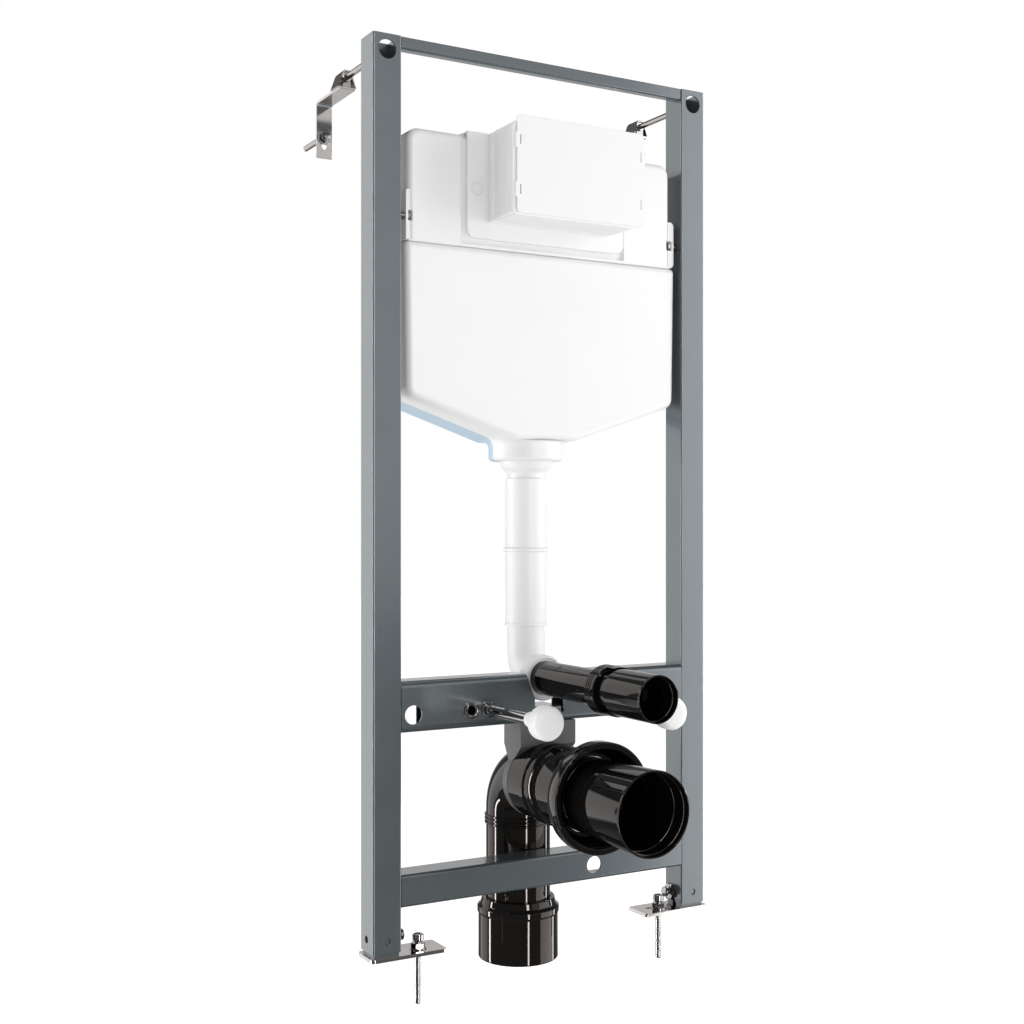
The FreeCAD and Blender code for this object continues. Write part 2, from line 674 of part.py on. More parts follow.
def side_bolt(side, x, inward):
    # The bolt and its spacer between a lug of the cistern and the post.
    name = side + "_side_bolt"
    edge, reach = (upper_left, d["lug_left"]) if inward > 0 else (upper_right, d["lug_right"])
    tip = edge - inward * reach
    turn = FreeCAD.Rotation(V(0, 1, 0), 90 * inward)
    face = x + inward * half
    bore = tip + inward * 3
    gap = inward * (tip - face)
    pieces = [rod(name + "_spacer", 5, gap, face, bolt_y, bolt_z, turn)]
    pieces.append(rod(name + "_shank", 3, gap + 4, face, bolt_y, bolt_z, turn))
    pieces.append(hexagon(name + "_head", 8.5, 4, bore, bolt_y, bolt_z, turn))
    return finish(fuse(name, pieces), name)


# Front access box

def access_base():
    name = "access_base"
    body = new_body(name)
    floor = d["tank_front"] + d["recess_deep"]
    low = tank_top - d["box_foot"] - 21
    outer = new_sketch(body, name + "_outline", "XZ_Plane", -floor)
    rectangle(outer, mid_x - d["recess_left"] + 8.5, low, mid_x + d["recess_right"] - 2,
              tank_top + d["box_head"] + 1)
    pad(body, outer, name + "_plate", d["base_thick"])
    low_z = low.value
    face = floor.value - d["base_thick"].value / 2
    soften(body, name + "_corners", 12, lambda p: near(p.z, low_z) and near(p.y, face))
    return finish(body, name)


def access_box():
    name = "access_box"
    body = new_body(name)
    start = d["tank_front"] + d["recess_deep"] - d["base_thick"]
    low = tank_top - d["box_foot"]
    high = tank_top + d["box_head"]
    left = mid_x - d["box_left"]
    right = mid_x + d["box_right"]
    wall = d["lid_thick"]
    outer = new_sketch(body, name + "_outline", "XZ_Plane", -start)
    rectangle(outer, left, low, right, high)
    rectangle(outer, left + wall, low + wall, right - wall, high - wall)
    pad(body, outer, name + "_walls", start - d["box_front"] - d["lid_thick"])
    return finish(body, name)


def access_lid():
    name = "access_lid"
    body = new_body(name)
    low = tank_top - d["box_foot"] + 1
    high = tank_top + d["lid_head"]
    left = mid_x - d["lid_left"]
    right = mid_x + d["lid_right"]
    thick = d["lid_thick"]
    outer = new_sketch(body, name + "_outline", "XZ_Plane", -d["box_front"])
    rectangle(outer, left, low, right, high)
    pad(body, outer, name + "_sheet", thick, True)
    face = d["box_front"].value + thick.value / 2
    soften(body, name + "_corners", 5, lambda p: near(p.y, face))
    tabs = new_sketch(body, name + "_tab_outline", "XZ_Plane", -d["box_front"])
    slots = new_sketch(body, name + "_slot_outline", "XZ_Plane", -d["box_front"])
    for edge, flip in ((left, 1), (right, -1)):
        for rise in (19, 80):
            rectangle(tabs, edge - flip * thick, low + rise, edge + flip * 1, low + rise + 19)
        for rise in (23, 84.5):
            rectangle(slots, edge + flip * 3.9, low + rise, edge + flip * 5.7, low + rise + 11.8)
    pad(body, tabs, name + "_tabs", thick, True)
    pocket(body, slots, name + "_slot_cut", thick + 1)
    return finish(body, name)


# Flush pipe

def outlet_half(name, rear):
    # Half of the collar below the cistern; the front half belongs to the white shell.
    inner = d["flush_rad"] + d["fit_gap"]
    outer = d["collar_rad"]
    foot = tank_foot
    low = foot - d["collar_high"]
    body = new_body(name, mid_x, flush_y)
    sketch = new_sketch(body, name + "_profile", "XZ_Plane")
    polygon(sketch, [(inner, low), (outer, low), (outer, foot), (inner, foot)])
    feature = revolve(body, sketch, name + "_turn")
    feature.Angle = 180
    feature.Reversed = not rear
    return finish(body, name)


def flush_nut():
    inner = d["flush_rad"] + d["fit_gap"]
    outer = d["nut_rad"]
    top = tank_foot - d["collar_high"]
    foot = top - d["nut_high"]
    profile = [(inner, foot), (outer * 0.855, foot + 8), (outer, foot + 14), (outer, top), (inner, top)]
    return turned("flush_nut", profile, mid_x, flush_y, 0)


def flush_pipe():
    outer = d["flush_rad"]
    inner = d["elbow_rad"] + d["fit_gap"]
    low = flush_z + d["joint_rise"]
    ring = low + 99
    top = tank_foot - 2
    profile = [(inner, low), (outer * 1.04, low), (outer * 1.04, low + 3), (outer, low + 4),
               (outer, ring - 1), (outer * 1.1, ring), (outer * 1.1, ring + 4), (outer, ring + 5),
               (outer, top), (inner, top)]
    return turned("flush_pipe", profile, mid_x, flush_y, 0)


def bend(name, x, y, z, radius, wall, turn_radius, start, end):
    # A pipe that runs straight from height start, turns to the front and ends at depth end.
    body = new_body(name, x, y, z)
    track = new_sketch(body, name + "_track", "YZ_Plane")
    turn_radius = size(turn_radius)
    start = size(start)
    end = size(end)
    above = start.value > 0
    up = 1 if above else -1
    reach = turn_radius.value
    first = V(0, up * reach, 0)
    last = V(-reach, 0, 0)
    around = Part.Circle(V(-reach, up * reach, 0), V(0, 0, 1), reach)
    angles = (1.5 * math.pi, 2 * math.pi) if above else (0, 0.5 * math.pi)
    line = track.addGeometry(Part.LineSegment(V(0, start.value, 0), first), False)
    arc = track.addGeometry(Part.ArcOfCircle(around, *angles), False)
    run = track.addGeometry(Part.LineSegment(last, V(end.value, 0, 0)), False)
    arc_top, arc_front = (2, 1) if above else (1, 2)
    track.addConstraint(Sketcher.Constraint("Coincident", line, 2, arc, arc_top))
    track.addConstraint(Sketcher.Constraint("Coincident", arc, arc_front, run, 1))
    pin(track, line, 1, 0, start)
    pin(track, line, 2, 0, up * turn_radius)
    pin(track, run, 1, -turn_radius, 0)
    pin(track, run, 2, end, 0)
    bind(track, Sketcher.Constraint("DistanceX", -1, 1, arc, 3, -reach), -turn_radius)
    ring = new_sketch(body, name + "_ring", "XY_Plane", start)
    circle(ring, 0, 0, radius)
    circle(ring, 0, 0, size(radius) - wall)
    feature = body.newObject("PartDesign::AdditivePipe", name + "_sweep")
    feature.Profile = ring
    feature.Spine = (track, ["Edge1", "Edge2", "Edge3"])
    return body


def flush_elbow():
    name = "flush_elbow"
    wall = d["elbow_rad"] - d["link_rad"] - d["fit_gap"]
    top = d["joint_rise"] + d["joint_deep"]
    reach = -d["elbow_turn"] - d["elbow_run"]
    body = bend(name, mid_x, flush_y, flush_z, d["elbow_rad"], wall, d["elbow_turn"], top, reach)
    return finish(body, name)


def elbow_collar():
    inner = d["elbow_rad"] + d["fit_gap"]
    outer = d["elbow_rad"] + 4.6
    start = flush_y - d["elbow_turn"]
    profile = [(inner, 0), (outer - 1.3, 0), (outer, 2), (outer, 16), (outer - 1.8, 19), (inner, 19)]
    return turned("elbow_collar", profile, mid_x, start, flush_z, FACING)


def flush_connector():
    outer = d["link_rad"]
    inner = outer - d["link_wall"]
    start = 5
    tip = d["ring_back"] - 26
    profile = [(inner, 0), (outer, 0), (outer, start - tip), (inner, start - tip)]
    return turned("flush_connector", profile, mid_x, start, flush_z, FACING)


def flush_ring_nut():
    # A ribbed rim whose two opposite tongues reach over the spigot.
    name = "flush_ring_nut"
    inner = d["link_rad"] + d["fit_gap"]
    outer = d["ring_rad"]
    rim = d["ring_rim"]
    long = d["ring_long"]
    lip = outer - 0.5
    thin = d["flush_out"] + d["fit_gap"]
    body = new_body(name, mid_x, d["ring_back"], flush_z, FACING)
    section = new_sketch(body, name + "_section", "XZ_Plane")
    polygon(section, [(inner, 0), (outer, 0), (outer, rim), (lip, rim), (lip, long), (thin, long),
                      (thin, rim), (inner, rim)])
    revolve(body, section, name + "_turn")
    windows = new_sketch(body, name + "_windows", "XY_Plane", long + 1)
    rectangle(windows, -outer - 1, -outer - 1, -outer * 0.43, outer + 1)
    rectangle(windows, outer * 0.43, -outer - 1, outer + 1, outer + 1)
    pocket(body, windows, name + "_window_cut", long + 1 - rim)
    return finish(body, name)


def flush_spigot():
    # A thin neck under the ring nut's tongues, then the free length that a pan sleeve meets.
    outer = d["flush_out"]
    inner = d["link_rad"] + d["fit_gap"]
    neck = inner + d["link_wall"]
    start = d["ring_back"] - d["ring_rim"] - 3.3
    hidden = 15.3
    long = start - d["flush_tip"]
    profile = [(inner, 0), (neck, 0), (neck, hidden), (outer, hidden), (outer, long),
               (outer - 2, long), (outer - 2, 30), (inner, 26)]
    return turned("flush_spigot", profile, mid_x, start, flush_z, FACING)


# Soil pipe and pan connector

def soil_bend():
    name = "soil_bend"
    outer = d["soil_rad"]
    low = soil_z - d["soil_turn"] - d["joint_drop"]
    body = bend(name, mid_x, d["soil_y"], soil_z, outer, d["soil_wall"], d["soil_turn"],
                low - soil_z, d["flange_back"])
    ribs = new_sketch(body, name + "_ribs", "XZ_Plane")
    for i in range(3):
        z = low - soil_z + 5 * i
        rectangle(ribs, outer - 1, z, outer + 2.2, z + 3)
    revolve(body, ribs, name + "_rib_turn")
    bead = new_sketch(body, name + "_bead", "XY_Plane")
    start = 5 - d["soil_y"]
    stop = d["sleeve_back"] - d["soil_y"]
    rim = d["bead_rad"]
    polygon(bead, [(outer - 1, start), (rim - 1.5, start), (rim, start - 1.5), (rim, stop),
                   (outer - 1, stop)])
    revolve(body, bead, name + "_bead_turn")
    return finish(body, name)


def soil_pipe():
    # The upright pipe, butt welded under the ribs of the bend.
    outer = d["soil_rad"]
    inner = outer - d["soil_wall"]
    low = d["soil_foot"] + d["socket_high"] + 4
    high = soil_z - d["soil_turn"] - d["joint_drop"]
    profile = [(inner, low), (outer, low), (outer, high), (inner, high)]
    return turned("soil_pipe", profile, mid_x, d["soil_y"], 0)


def soil_socket():
    outer = d["socket_rad"]
    inner = outer - d["socket_wall"]
    foot = d["soil_foot"]
    bore = d["soil_rad"] + d["fit_gap"]
    high = foot + d["socket_high"]
    profile = [(inner, foot), (outer, foot), (outer, high), (outer + 1.5, high + 2), (outer + 1.5, high + 9),
               (outer - 2.8, high + 13), (outer - 4.8, high + 21), (bore, high + 21), (bore, high),
               (inner, high - 4)]
    return turned("soil_socket", profile, mid_x, d["soil_y"], 0)


def pan_sleeve():
    inner = d["soil_rad"] + d["fit_gap"]
    outer = d["sleeve_out"]
    thin = d["sleeve_thin"]
    long = d["sleeve_back"] - d["spigot_back"]
    profile = [(inner, 0), (outer, 0), (outer, 9), (outer - 2.5, 12), (outer - 2.5, 16), (outer, 19),
               (outer, 27), (outer - 3, 33), (thin, 36), (thin, long), (inner, long)]
    return turned("pan_sleeve", profile, mid_x, d["sleeve_back"], soil_z, FACING)


def pan_flange():
    inner = d["sleeve_thin"] + d["fit_gap"]
    outer = d["flange_rad"]
    long = d["flange_long"]
    profile = [(inner, 0), (outer - 11, 0), (outer, long / 2), (outer, long), (outer - 8, long),
               (outer - 8, long / 2 + 2), (inner + 4.7, 4), (inner, 4)]
    return turned("pan_flange", profile, mid_x, d["flange_back"], soil_z, FACING)


def pan_spigot():
    # A cone with an even wall, stepped in where the pan's outlet stops against it.
    start = d["spigot_back"]
    long = start - d["pan_tip"]
    outer = d["pan_rad"]
    bore = d["spigot_bore"]
    wall = d["spigot_wall"]
    back = bore + wall + 1
    share = 0.4
    step = long * share
    step_in = back + (outer - back) * share - wall
    profile = [(bore, 0), (back, 0), (outer, long), (outer - wall, long), (step_in, step), (bore, step - 4)]
    return turned("pan_spigot", profile, mid_x, start, soil_z, FACING)


def soil_clamp():
    # A hanger under the middle rail with sloping cheeks, a ring round the bend and a locking tongue.
    name = "soil_clamp"
    wide = d["clamp_half"]
    front = d["clamp_front"]
    back = d["clamp_back"]
    top = d["mid_bottom"] - d["fit_gap"]
    foot = top - d["clamp_high"]
    body = new_body(name)
    cheek = new_sketch(body, name + "_side", "YZ_Plane", mid_x - wide)
    polygon(cheek, [(front, foot), (4.5, foot - 20), (4.5, soil_z), (17, soil_z), (17, foot - 20),
                    (back, foot), (back, top), (front, top)])
    pad(body, cheek, name + "_hanger", wide * 2)
    ring = new_sketch(body, name + "_ring", "XZ_Plane", -17)
    circle(ring, mid_x, soil_z, d["clamp_rad"])
    pad(body, ring, name + "_ring_block", 12.5)
    tongue = new_sketch(body, name + "_tongue", "XY_Plane", top - 1)
    rectangle(tongue, mid_x - 18, front, mid_x + 18, front + 8)
    pad(body, tongue, name + "_tongue_block", d["notch_rise"] + 3)
    bore = new_sketch(body, name + "_bore", "XZ_Plane", -back - 1)
    circle(bore, mid_x, soil_z, d["soil_rad"] + d["fit_gap"])
    pocket(body, bore, name + "_bore_cut", back - front + 2, True)
    room = new_sketch(body, name + "_bead_room", "XZ_Plane", -5 - d["fit_gap"])
    circle(room, mid_x, soil_z, d["bead_rad"] + d["fit_gap"])
    pocket(body, room, name + "_bead_room_cut", 25, True)
    return finish(body, name)


# Pan studs

def stud(side, x):
    # A threaded rod with a sleeve between its nut and its cap.
    rod_r = d["stud_rad"]
    sleeve = d["sleeve_rad"]
    back = size(12) - half
    first = back + half + 10.6
    last = back - d["cap_back"] - 0.6
    long = back - d["stud_tip"]
    profile = [(0, 0), (rod_r, 0), (rod_r, first), (sleeve, first), (sleeve, last), (rod_r, last),
               (rod_r, long), (0, long)]
    return turned(side + "_stud", profile, x, back, stud_z, FACING)


def weld_nut(name, x):
    # A round nut welded into the rail; the studs can stand in either pair.
    back = d["dimple"] - half
    outer = d["stud_rad"] * 1.72
    bore = d["stud_rad"] + d["fit_gap"]
    profile = [(bore, 0), (outer, 0), (outer, 2.6), (outer - 1.8, 4), (bore, 4)]
    return turned(name, profile, x, back, stud_z, FACING)


def stud_cap(side, x):
    name = side + "_stud_cap"
    fit = d["stud_rad"] + d["fit_gap"]
    rim = d["cap_rad"]
    long = d["cap_long"]
    profile = [(fit, 0), (8.2, 0), (9.4, 2), (9.4, 16), (10.5, 19), (rim - 1.3, 28), (rim, 33),
               (rim, long - 6), (rim - 1.4, long - 2.6), (rim - 5, long - 0.8), (0, long), (0, long - 2),
               (fit, long - 3)]
    return turned(name, profile, x, d["cap_back"], stud_z, FACING)


for side, x, inward in SIDES:
    post(side, x, inward)
    leg(side, x, inward)
    foot_plate(side, x, inward)
    floor_anchor(side, x, inward)
    lock_bolt(side, x, inward)
    wall_rod(side, x)
    wall_clip(side, x)
    wall_strap(side, x)
    wall_screw(side, x)
    side_bolt(side, x, inward)
    stud(side, mid_x - inward * d["stud_gap"] / 2)
    weld_nut(side + "_stud_nut", mid_x - inward * d["stud_gap"] / 2)
    stud_cap(side, mid_x - inward * d["stud_gap"] / 2)
    weld_nut(side + "_spare_nut", mid_x - inward * d["spare_gap"] / 2)

top_rail()
mid_rail()
lower_rail()
cistern_lower()
cistern_back()
cistern_upper()
access_base()
access_box()
access_lid()
outlet_half("outlet_front", False)
outlet_half("outlet_rear", True)
flush_nut()
flush_pipe()
flush_elbow()
elbow_collar()
flush_connector()
flush_ring_nut()
flush_spigot()
soil_bend()
soil_pipe()
soil_socket()
pan_sleeve()
pan_flange()
pan_spigot()
soil_clamp()

doc.recompute()
for item in doc.Objects:
    if "Invalid" in item.State or "Error" in item.State:
        raise RuntimeError("not built: " + item.Name)
os.makedirs("parts", exist_ok=True)
for item in nodes:
    if item.Shape.isNull() or not item.Shape.isValid():
        raise RuntimeError("bad shape: " + item.Label)
    item.Shape.exportStep("parts/%s.step" % item.Label)
print("wrote", len(nodes), "pieces")
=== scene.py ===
import bpy
import bmesh
import json
import math
from mathutils import Matrix, Vector


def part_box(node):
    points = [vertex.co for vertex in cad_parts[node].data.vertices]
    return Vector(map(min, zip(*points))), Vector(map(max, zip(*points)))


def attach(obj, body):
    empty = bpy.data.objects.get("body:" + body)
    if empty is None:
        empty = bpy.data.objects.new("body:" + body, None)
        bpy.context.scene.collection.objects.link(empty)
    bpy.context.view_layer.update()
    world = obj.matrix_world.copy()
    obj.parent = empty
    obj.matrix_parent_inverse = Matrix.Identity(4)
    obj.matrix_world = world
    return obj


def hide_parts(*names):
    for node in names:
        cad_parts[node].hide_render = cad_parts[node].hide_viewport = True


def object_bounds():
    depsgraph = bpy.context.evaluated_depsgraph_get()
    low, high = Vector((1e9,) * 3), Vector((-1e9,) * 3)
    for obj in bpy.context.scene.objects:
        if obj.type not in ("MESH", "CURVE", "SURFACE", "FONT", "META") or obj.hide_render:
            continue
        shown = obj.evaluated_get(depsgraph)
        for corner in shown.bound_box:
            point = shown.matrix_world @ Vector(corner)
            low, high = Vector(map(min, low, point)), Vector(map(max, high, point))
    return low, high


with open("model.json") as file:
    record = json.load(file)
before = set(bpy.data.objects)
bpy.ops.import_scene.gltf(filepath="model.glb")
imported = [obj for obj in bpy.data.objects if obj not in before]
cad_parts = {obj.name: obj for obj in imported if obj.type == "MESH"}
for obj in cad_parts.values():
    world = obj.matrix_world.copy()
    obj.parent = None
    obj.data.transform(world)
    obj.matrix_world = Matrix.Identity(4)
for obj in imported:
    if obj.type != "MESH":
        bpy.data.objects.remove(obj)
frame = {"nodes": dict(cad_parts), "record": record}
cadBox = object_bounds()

# Wall hung toilet frame. Lengths in the settings are millimetres; the scene itself is in metres.

mm = 0.001
fullTurn = 2 * math.pi
quarterTurn = math.pi / 2
upright = Matrix.Identity(4)
toFront = Matrix.Rotation(quarterTurn, 4, "X")       # turns a piece made along +Z to point along -Y
toRight = Matrix(((0, 0, 1, 0), (1, 0, 0, 0), (0, 1, 0, 0), (0, 0, 0, 1)))       # and to point along +X
fineSteps = 128                                      # faces round the large pipes
pieceNames = []


# Materials

noise = {"grain": 3.0, "patches": 2.0, "streaks": 4.0, "clouds": 3.0, "low": 0.15, "high": 0.85}


def newGroup(name, inputs, outputs):
    group = bpy.data.node_groups.new(name, "ShaderNodeTree")
    for label, kind, value in inputs:
        socket = group.interface.new_socket(name=label, in_out="INPUT", socket_type=kind)
        socket.default_value = value
    for label, kind in outputs:
        group.interface.new_socket(name=label, in_out="OUTPUT", socket_type=kind)
    return group, group.nodes.new("NodeGroupInput"), group.nodes.new("NodeGroupOutput")


def addNode(tree, kind, **settings):
    node = tree.nodes.new(kind)
    for key, value in settings.items():
        setattr(node, key, value)
    return node


def addNoise(tree, place, detail):
    made = addNode(tree, "ShaderNodeTexNoise")
    made.inputs["Detail"].default_value = detail
    tree.links.new(place, made.inputs["Vector"])
    return made


def joinAll(tree, pairs):
    for source, target in pairs:
        tree.links.new(source, target)


def fineGrain():
    # The orange peel of paint and the faint texture of moulded plastic, as a height.
    group, nodeIn, nodeOut = newGroup("Fine grain", [
        ("Size", "NodeSocketFloat", 900.0), ("Patch Size", "NodeSocketFloat", 14.0)],
        [("Height", "NodeSocketFloat"), ("Patches", "NodeSocketFloat")])
    where = addNode(group, "ShaderNodeTexCoord")
    grain = addNoise(group, where.outputs["Object"], noise["grain"])
    patches = addNoise(group, where.outputs["Object"], noise["patches"])
    joinAll(group, ((nodeIn.outputs["Size"], grain.inputs["Scale"]),
                    (nodeIn.outputs["Patch Size"], patches.inputs["Scale"]),
                    (grain.outputs["Fac"], nodeOut.inputs["Height"]),
                    (patches.outputs["Fac"], nodeOut.inputs["Patches"])))
    return group


def metalStreaks():
    # Rolled sheet and turned steel: long streaks with a little clouding.
    group, nodeIn, nodeOut = newGroup("Metal streaks", [
        ("Stretch", "NodeSocketVector", (40.0, 40.0, 900.0)), ("Cloud Size", "NodeSocketFloat", 60.0)],
        [("Streaks", "NodeSocketFloat"), ("Clouds", "NodeSocketFloat")])
    where = addNode(group, "ShaderNodeTexCoord")
    stretch = addNode(group, "ShaderNodeVectorMath", operation="MULTIPLY")
    streaks = addNoise(group, stretch.outputs[0], noise["streaks"])
    streaks.inputs["Scale"].default_value = 1.0
    clouds = addNoise(group, where.outputs["Object"], noise["clouds"])
    joinAll(group, ((where.outputs["Object"], stretch.inputs[0]),
                    (nodeIn.outputs["Stretch"], stretch.inputs[1]),
                    (nodeIn.outputs["Cloud Size"], clouds.inputs["Scale"]),
                    (streaks.outputs["Fac"], nodeOut.inputs["Streaks"]),
                    (clouds.outputs["Fac"], nodeOut.inputs["Clouds"])))
    return group


grainGroup = fineGrain()
streakGroup = metalStreaks()


def startMaterial(name):
    material = bpy.data.materials.new(name)
    material.use_nodes = True
    return material, material.node_tree, material.node_tree.nodes["Principled BSDF"]


def spread(tree, mask, low, high, socket):
    # Stretches the middle part of a noise over the whole range from low to high.
    span = addNode(tree, "ShaderNodeMapRange")
    for label, value in (("From Min", noise["low"]), ("From Max", noise["high"]),
                         ("To Min", low), ("To Max", high)):
        span.inputs[label].default_value = value
    joinAll(tree, ((mask, span.inputs["Value"]), (span.outputs["Result"], socket)))


def finishSurface(tree, shader, look, mask, height):
    # Two close colours and an uneven gloss by the mask, the fine relief, and slightly broken edges.
    mix = addNode(tree, "ShaderNodeMix", data_type="RGBA")
    mix.inputs[6].default_value = (*look["dark"], 1)          # 6 and 7 are the two colours, 2 the mixed one
    mix.inputs[7].default_value = (*look["light"], 1)
    spread(tree, mask, 0.0, 1.0, mix.inputs[0])
    spread(tree, mask, look["glossy"], look["dull"], shader.inputs["Roughness"])
    edge = addNode(tree, "ShaderNodeBevel", samples=4)
    edge.inputs["Radius"].default_value = look["edge"] * mm
    bump = addNode(tree, "ShaderNodeBump")
    bump.inputs["Strength"].default_value = look["bump"]
    bump.inputs["Distance"].default_value = look["depth"] * mm
    joinAll(tree, ((mix.outputs[2], shader.inputs["Base Color"]),
                   (height, bump.inputs["Height"]),
                   (edge.outputs["Normal"], bump.inputs["Normal"]),
                   (bump.outputs["Normal"], shader.inputs["Normal"])))
    shader.inputs["Metallic"].default_value = look["metal"]
    shader.inputs["Coat Weight"].default_value = look["coat"]
    shader.inputs["Coat Roughness"].default_value = look["coatRoughness"]
    # Specular Tint colours every reflection. The black pipe's warm shineTint is a painted warm reflection,
    # standing in for a warm light behind and to the left of the pipes.
    shader.inputs["Specular Tint"].default_value = (*look.get("shineTint", (1, 1, 1)), 1)


def grainMaterial(name, look):
    # Paint and plastic
    material, tree, shader = startMaterial(name)
    grain = addNode(tree, "ShaderNodeGroup", node_tree=grainGroup)
    grain.inputs["Size"].default_value = look["grainSize"]
    finishSurface(tree, shader, look, grain.outputs["Patches"], grain.outputs["Height"])
    return material


def metalMaterial(name, look):
    # Plated steel, with streaks along the sheet or round the bar
    material, tree, shader = startMaterial(name)
    streaks = addNode(tree, "ShaderNodeGroup", node_tree=streakGroup)
    streaks.inputs["Stretch"].default_value = look["stretch"]
    streaks.inputs["Cloud Size"].default_value = look["cloudSize"]
    finishSurface(tree, shader, look, streaks.outputs["Clouds"], streaks.outputs["Streaks"])
    return material


# Colours and gloss of each finish; bump is its strength, and depth and edge are in millimetres
looks = {
    "frame_paint": grainMaterial("Grey frame paint", {
        "dark": (0.116, 0.134, 0.146), "light": (0.126, 0.145, 0.157), "glossy": 0.25, "dull": 0.28,
        "metal": 0.6, "coat": 1.0, "coatRoughness": 0.12,
        "grainSize": 1400, "bump": 0.05, "depth": 0.08, "edge": 0.25}),
    "zinc_plate": metalMaterial("Zinc plated sheet", {
        "dark": (0.55, 0.52, 0.51), "light": (0.62, 0.59, 0.575), "glossy": 0.07, "dull": 0.12,
        "metal": 1.0, "coat": 0.0, "coatRoughness": 0.03,
        "stretch": (700, 30, 30), "cloudSize": 60, "bump": 0.02, "depth": 0.02, "edge": 0.5}),
    "bright_fixing": metalMaterial("Bright fixings", {
        "dark": (0.40, 0.385, 0.375), "light": (0.46, 0.445, 0.435), "glossy": 0.06, "dull": 0.09,
        "metal": 1.0, "coat": 0.0, "coatRoughness": 0.03,
        "stretch": (90, 90, 900), "cloudSize": 90, "bump": 0.015, "depth": 0.015, "edge": 0.3}),
    "white_shell": grainMaterial("White moulded plastic", {
        "dark": (0.827, 0.824, 0.825), "light": (0.837, 0.835, 0.835), "glossy": 0.42, "dull": 0.46,
        "metal": 0.0, "coat": 0.0, "coatRoughness": 0.10,
        "grainSize": 700, "bump": 0.02, "depth": 0.08, "edge": 0.8}),
    "blue_shell": grainMaterial("Pale blue rear shell", {
        "dark": (0.47, 0.61, 0.72), "light": (0.49, 0.63, 0.74), "glossy": 0.38, "dull": 0.44,
        "metal": 0.0, "coat": 0.0, "coatRoughness": 0.10,
        "grainSize": 500, "bump": 0.03, "depth": 0.12, "edge": 0.8}),
    # The black pipe's shineTint gives all its reflections a warm cast: a painted warm reflection.
    "black_pipe": grainMaterial("Black pipe plastic", {
        "dark": (0.0035, 0.0034, 0.0033), "light": (0.0060, 0.0056, 0.0053), "glossy": 0.025, "dull": 0.04,
        "metal": 0.0, "coat": 0.0, "coatRoughness": 0.03,
        "grainSize": 260, "bump": 0.001, "depth": 0.05, "edge": 0.5, "shineTint": (0.96, 0.86, 0.80)}),
    "grey_clamp": grainMaterial("Dark grey clamp", {
        "dark": (0.082, 0.082, 0.082), "light": (0.100, 0.099, 0.098), "glossy": 0.40, "dull": 0.52,
        "metal": 0.0, "coat": 0.0, "coatRoughness": 0.03,
        "grainSize": 1100, "bump": 0.08, "depth": 0.10, "edge": 0.5}),
}

slotOf = {part["node"]: part["material_slot"] for part in frame["record"]["subparts"]}
for nodeName, node in frame["nodes"].items():
    for place in node.material_slots:
        place.material = looks[slotOf[nodeName]]
print("materials made:", len(looks))


# Shared mesh work

smoothing = {"angle": 32, "segments": 3, "weight": 90}


def keepPiece(name, mesh, body, slotName, hides, bevel):
    piece = bpy.data.objects.new(name, mesh)
    bpy.context.scene.collection.objects.link(piece)
    mesh.materials.append(looks[slotName])
    mesh.shade_smooth()
    if bevel:
        rounding = piece.modifiers.new("Rounded edges", "BEVEL")
        rounding.width = bevel * mm
        rounding.segments = smoothing["segments"]
        rounding.limit_method = "ANGLE"
        rounding.angle_limit = math.radians(smoothing["angle"])
        rounding.miter_outer = "MITER_ARC"
    else:
        mesh.set_sharp_from_angle(angle=math.radians(smoothing["angle"]))
    even = piece.modifiers.new("Even shading", "WEIGHTED_NORMAL")
    even.weight = smoothing["weight"]
    even.keep_sharp = True
    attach(piece, body)
    if hides:
        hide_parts(*hides)
    pieceNames.append(name)


def builtPiece(name, build, slotName, hides=(), bevel=0, body="frame"):
    work = bmesh.new()
    build(work)
    bmesh.ops.recalc_face_normals(work, faces=work.faces)
    mesh = bpy.data.meshes.new(name)
    work.to_mesh(mesh)
    work.free()
    keepPiece(name, mesh, body, slotName, hides, bevel)


def around(radius, angle, height):
    # A point at a radius and an angle about the z axis
    return Vector((radius * math.cos(angle), radius * math.sin(angle), height)) * mm


def latheInto(work, profile, matrix, steps=96, shape=None, first=0.0, sweep=fullTurn):
    # Turns a closed profile of (radius, height) pairs about its axis. shape bends a ring point by point.
    closed = sweep >= fullTurn
    columns = steps if closed else steps + 1
    rings = []
    for index, (radius, height) in enumerate(profile):
        if radius < 1e-6:
            rings.append([work.verts.new(matrix @ Vector((0, 0, height * mm)))])
            continue
        ring = []
        for step in range(columns):
            angle = first + sweep * step / steps
            r, h = (radius, height) if shape is None else shape(index, angle, radius, height)
            ring.append(work.verts.new(matrix @ around(r, angle, h)))
        rings.append(ring)
    for index, low in enumerate(rings):
        high = rings[(index + 1) % len(rings)]
        if len(low) == 1 and len(high) == 1:
            continue
        for step in range(steps):
            after = (step + 1) % columns
            if len(low) == 1:
                work.faces.new((low[0], high[step], high[after]))
            elif len(high) == 1:
                work.faces.new((low[step], high[0], low[after]))
            else:
                work.faces.new((low[step], high[step], high[after], low[after]))
    if not closed:
        work.faces.new([ring[0] for ring in rings])
        work.faces.new([ring[-1] for ring in reversed(rings)])


def innerRing(wall, at, rise, half, steps=8):
    # A half round ring standing in from a bore, listed from its front to its back.
    return [(wall - rise * math.sin(math.pi * k / steps), at + half * math.cos(math.pi * k / steps))
            for k in range(steps + 1)]


def placed(centre, turn=upright):
    return Matrix.Translation(Vector(centre) * mm) @ turn


def turnedPiece(name, profile, centre, turn, slotName, hides=(), bevel=0.5, steps=96, shape=None,
                first=0.0, sweep=fullTurn):
    where = placed(centre, turn)
    builtPiece(name, lambda work: latheInto(work, profile, where, steps, shape, first, sweep),
               slotName, hides, bevel)


